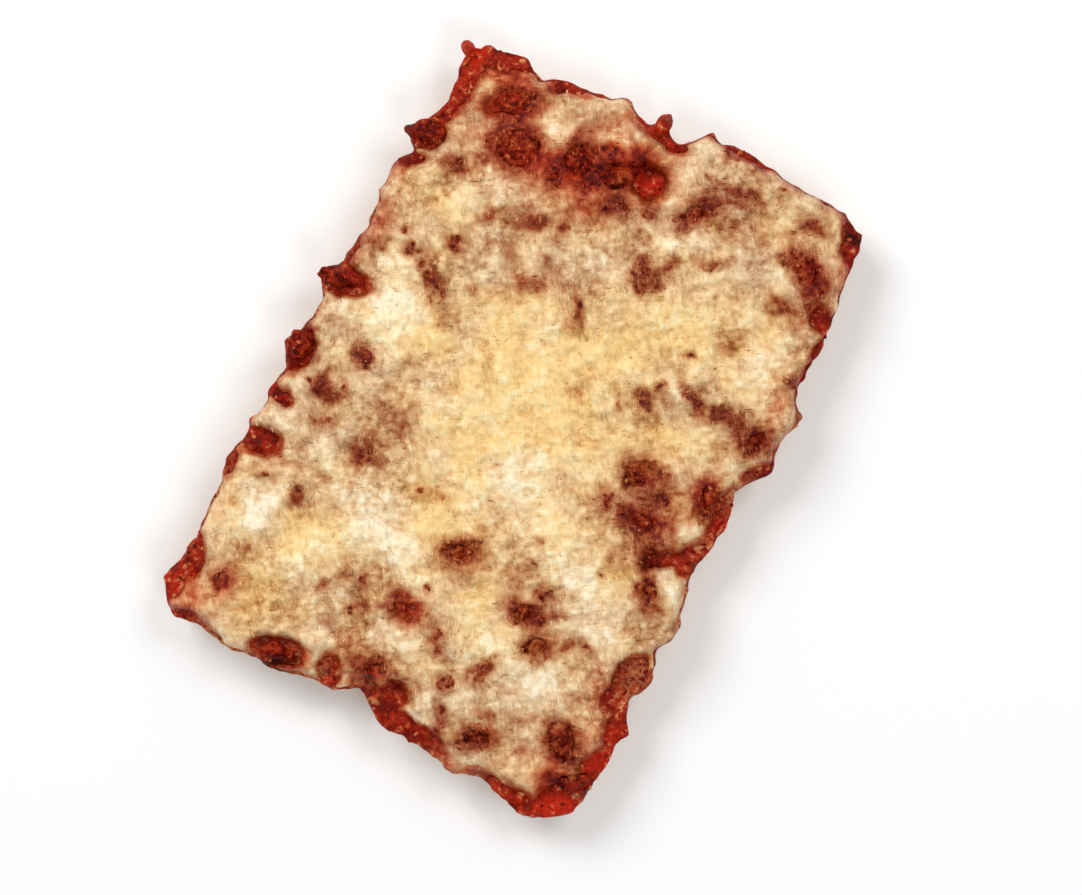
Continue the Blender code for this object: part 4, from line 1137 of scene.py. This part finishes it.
def scatter_tree():
    """Bits strewn over a surface wherever its attribute here is above 0."""
    tree = bpy.data.node_groups.new("strewn bits", "GeometryNodeTree")
    sizes = ["Density", "Smallest", "Largest", "Length", "Flatness", "Turn", "Turn Spread", "Unevenness"]
    for label, kind in [("Geometry", "Geometry"), *[(size, "Float") for size in sizes], ("Seed", "Int"),
                        ("Material", "Material")]:
        tree.interface.new_socket(label, in_out="INPUT", socket_type="NodeSocket" + kind)
    tree.interface.new_socket("Geometry", in_out="OUTPUT", socket_type="NodeSocketGeometry")
    given = tree.nodes.new("NodeGroupInput").outputs
    result = tree.nodes.new("NodeGroupOutput")
    here = node(tree, "GeometryNodeInputNamedAttribute", {"Name": "here"}, data_type="FLOAT").outputs[0]
    points = node(tree, "GeometryNodeDistributePointsOnFaces",
                  {"Mesh": given["Geometry"], "Density": times(tree, here, given["Density"]),
                   "Seed": given["Seed"]}).outputs["Points"]
    size = random_number(tree, given["Smallest"], given["Largest"], 1)
    turn = total(tree, given["Turn"], times(tree, given["Turn Spread"], random_number(tree, -1.0, 1.0, 2)))
    rotation = join_numbers(tree, random_number(tree, -0.4, 0.4, 3),
                            random_number(tree, -0.25, 0.25, 4), turn)
    scale = join_numbers(tree, times(tree, size, given["Length"]), size,
                         times(tree, size, given["Flatness"]))
    bit = node(tree, "GeometryNodeMeshUVSphere", {"Segments": 8, "Rings": 6, "Radius": 1.0}).outputs["Mesh"]
    placed = node(tree, "GeometryNodeInstanceOnPoints",
                  {"Points": points, "Instance": bit, "Rotation": rotation, "Scale": scale}).outputs[0]
    toned = node(tree, "GeometryNodeStoreNamedAttribute",
                 {"Geometry": placed, "Name": "shade", "Value": random_number(tree, 0.0, 1.0, 5)},
                 data_type="FLOAT", domain="INSTANCE").outputs[0]
    whole = node(tree, "GeometryNodeRealizeInstances", {"Geometry": toned}).outputs[0]
    wobble = node(tree, "ShaderNodeTexNoise", {"Scale": 1.0 / (0.9 * MM), "Detail": 1.0}).outputs["Color"]
    wobble = node(tree, "ShaderNodeVectorMath", {0: wobble, 1: (0.5, 0.5, 0.5)}, operation="SUBTRACT")
    push = node(tree, "ShaderNodeVectorMath", {0: wobble.outputs[0], "Scale": given["Unevenness"]},
                operation="SCALE").outputs[0]
    uneven = node(tree, "GeometryNodeSetPosition", {"Geometry": whole, "Offset": push}).outputs[0]
    smooth = node(tree, "GeometryNodeSetShadeSmooth", {"Geometry": uneven}).outputs[0]
    coloured = node(tree, "GeometryNodeSetMaterial", {"Geometry": smooth, "Material": given["Material"]})
    tree.links.new(coloured.outputs[0], result.inputs[0])
    return tree


def strew(name, surface, here, slot, **settings):
    """Bits on a piece's surface as a piece of their own, and each point's shade from 0 to 1."""
    piece = new_object(name, surface.data.copy())
    paint(piece, "here", here)
    modifier = piece.modifiers.new("strewn bits", "NODES")
    modifier.node_group = SCATTER
    for item in SCATTER.interface.items_tree:
        label = item.name.replace(" ", "_")
        if label in settings:
            modifier[item.identifier] = settings[label]
    mesh = plain_mesh(piece)
    finish_piece(piece)
    shade = np.empty(len(mesh.vertices), np.float32)
    mesh.attributes["shade"].data.foreach_get("value", shade)
    return piece, shade


def make_bits(cheese, sauce):
    x, y, z = plan_of(cheese)
    upper = z > CHEESE_SKIRT + 0.5
    meat = bare_meat(x, y)
    open_cheese = upper * (1 - meat) * smooth_step(0.4, 0.75, thickness(x, y))
    open_cheese = open_cheese * smooth_step(0.3, 1.5, cheese_rim(x, y))
    patches = smooth_step(-0.2, 0.5, waves(x, y, 6.0, 98))
    threads, shade = strew("cheese_threads", cheese, open_cheese * (0.35 + 0.65 * patches), "cheese",
                           Material=CHEESE, Density=9.0e4, Smallest=0.16 * MM, Largest=0.3 * MM,
                           Length=4.5, Flatness=1.0, Turn=math.radians(-58), Turn_Spread=0.7,
                           Unevenness=0.7 * MM, Seed=7)
    paint(threads, "cover", 0.86 + 0.2 * shade)
    paint(threads, "gold", 0.6 * shade)
    grains, shade = strew("meat_grains", cheese, upper * smooth_step(0.35, 0.75, meat), "meat",
                          Material=MEAT, Density=3.4e5, Smallest=0.25 * MM, Largest=0.7 * MM,
                          Length=1.3, Flatness=0.6, **EVERY_WAY, Unevenness=0.5 * MM, Seed=8)
    paint(grains, "cover", 0.02 + 0.3 * shade * shade)
    x, y, _ = plan_of(grains)
    paint(grains, "stain", np.clip(0.2 + 0.6 * shade + redness(x, y), 0, 1))
    flecks, shade = strew("dark_flecks", cheese, open_cheese, "meat",
                          Material=MEAT, Density=1.3e4, Smallest=0.14 * MM, Largest=0.34 * MM,
                          Length=1.5, Flatness=0.6, **EVERY_WAY, Unevenness=0.3 * MM, Seed=9)
    paint(flecks, "cover", 0.1 + 0.25 * shade)
    paint(flecks, "stain", 0.3 * shade)
    x, y, z = plan_of(sauce)
    bare = (z > SAUCE_SKIRT + 0.5) * smooth_step(0.6, 0.0, cheese_cover(x, y))
    bare = bare * smooth_step(0.3, 1.2, sauce_cover(x, y))
    pulp, shade = strew("tomato_pulp", sauce, bare, "sauce",
                        Material=MEAT, Density=2.2e5, Smallest=0.2 * MM, Largest=0.55 * MM,
                        Length=1.4, Flatness=0.5, **EVERY_WAY, Unevenness=0.5 * MM, Seed=10)
    paint(pulp, "cover", 0.12 + 0.45 * shade * shade)
    paint(pulp, "stain", np.ones_like(shade))


def photo_camera():
    """Straight above, with the photograph's turn and framing, through a long lens."""
    picture_width = PHOTO_WIDTH / PHOTO_PIXELS_PER_MM
    lens, sensor = 100.0, 36.0
    distance = picture_width * lens / sensor
    camera = new_object("photo_camera", bpy.data.cameras.new("photo_camera"))
    camera.data.lens = lens
    camera.data.sensor_width = sensor
    camera.data.clip_start = 0.01
    middle = np.array(PHOTO_MIDDLE) + SHIFT
    camera.location = Vector(middle * MM) + Vector((0, 0, distance * MM))
    camera.rotation_euler = Euler((0, 0, math.radians(PHOTO_TURN)))
    bpy.context.scene.camera = camera


def soft_light(name, place, size, power):
    light = bpy.data.lights.new(name, "AREA")
    light.size = size
    light.energy = power
    lamp = new_object(name, light)
    lamp.location = place
    lamp.rotation_euler = (-Vector(place)).to_track_quat("-Z", "Y").to_euler()


def studio():
    """A pale floor and three soft lights, the strongest from the left."""
    bpy.ops.mesh.primitive_plane_add(size=6)
    floor = bpy.context.active_object
    floor.name = "floor"
    material, _, shader = new_material("pale floor", 0.9)
    shader.inputs["Base Color"].default_value = (0.95, 0.95, 0.95, 1)
    floor.data.materials.append(material)
    soft_light("left_light", (-0.75, 0.24, 0.8), 0.5, 6.5)
    soft_light("back_light", (0.2, 0.62, 0.9), 0.4, 2.8)
    soft_light("right_light", (0.6, -0.3, 0.9), 0.4, 2.5)
    world = bpy.data.worlds.new("studio")
    world.use_nodes = True
    world.node_tree.nodes["Background"].inputs["Color"].default_value = (1, 1, 1, 1)
    world.node_tree.nodes["Background"].inputs["Strength"].default_value = 0.4
    bpy.context.scene.world = world
    bpy.context.scene.view_settings.view_transform = "Standard"


SCATTER = scatter_tree()
make_bread()
sauce_layer = make_sauce()
cheese_sheet = make_cheese()
make_crumbles()
make_bits(cheese_sheet, sauce_layer)
photo_camera()
studio()
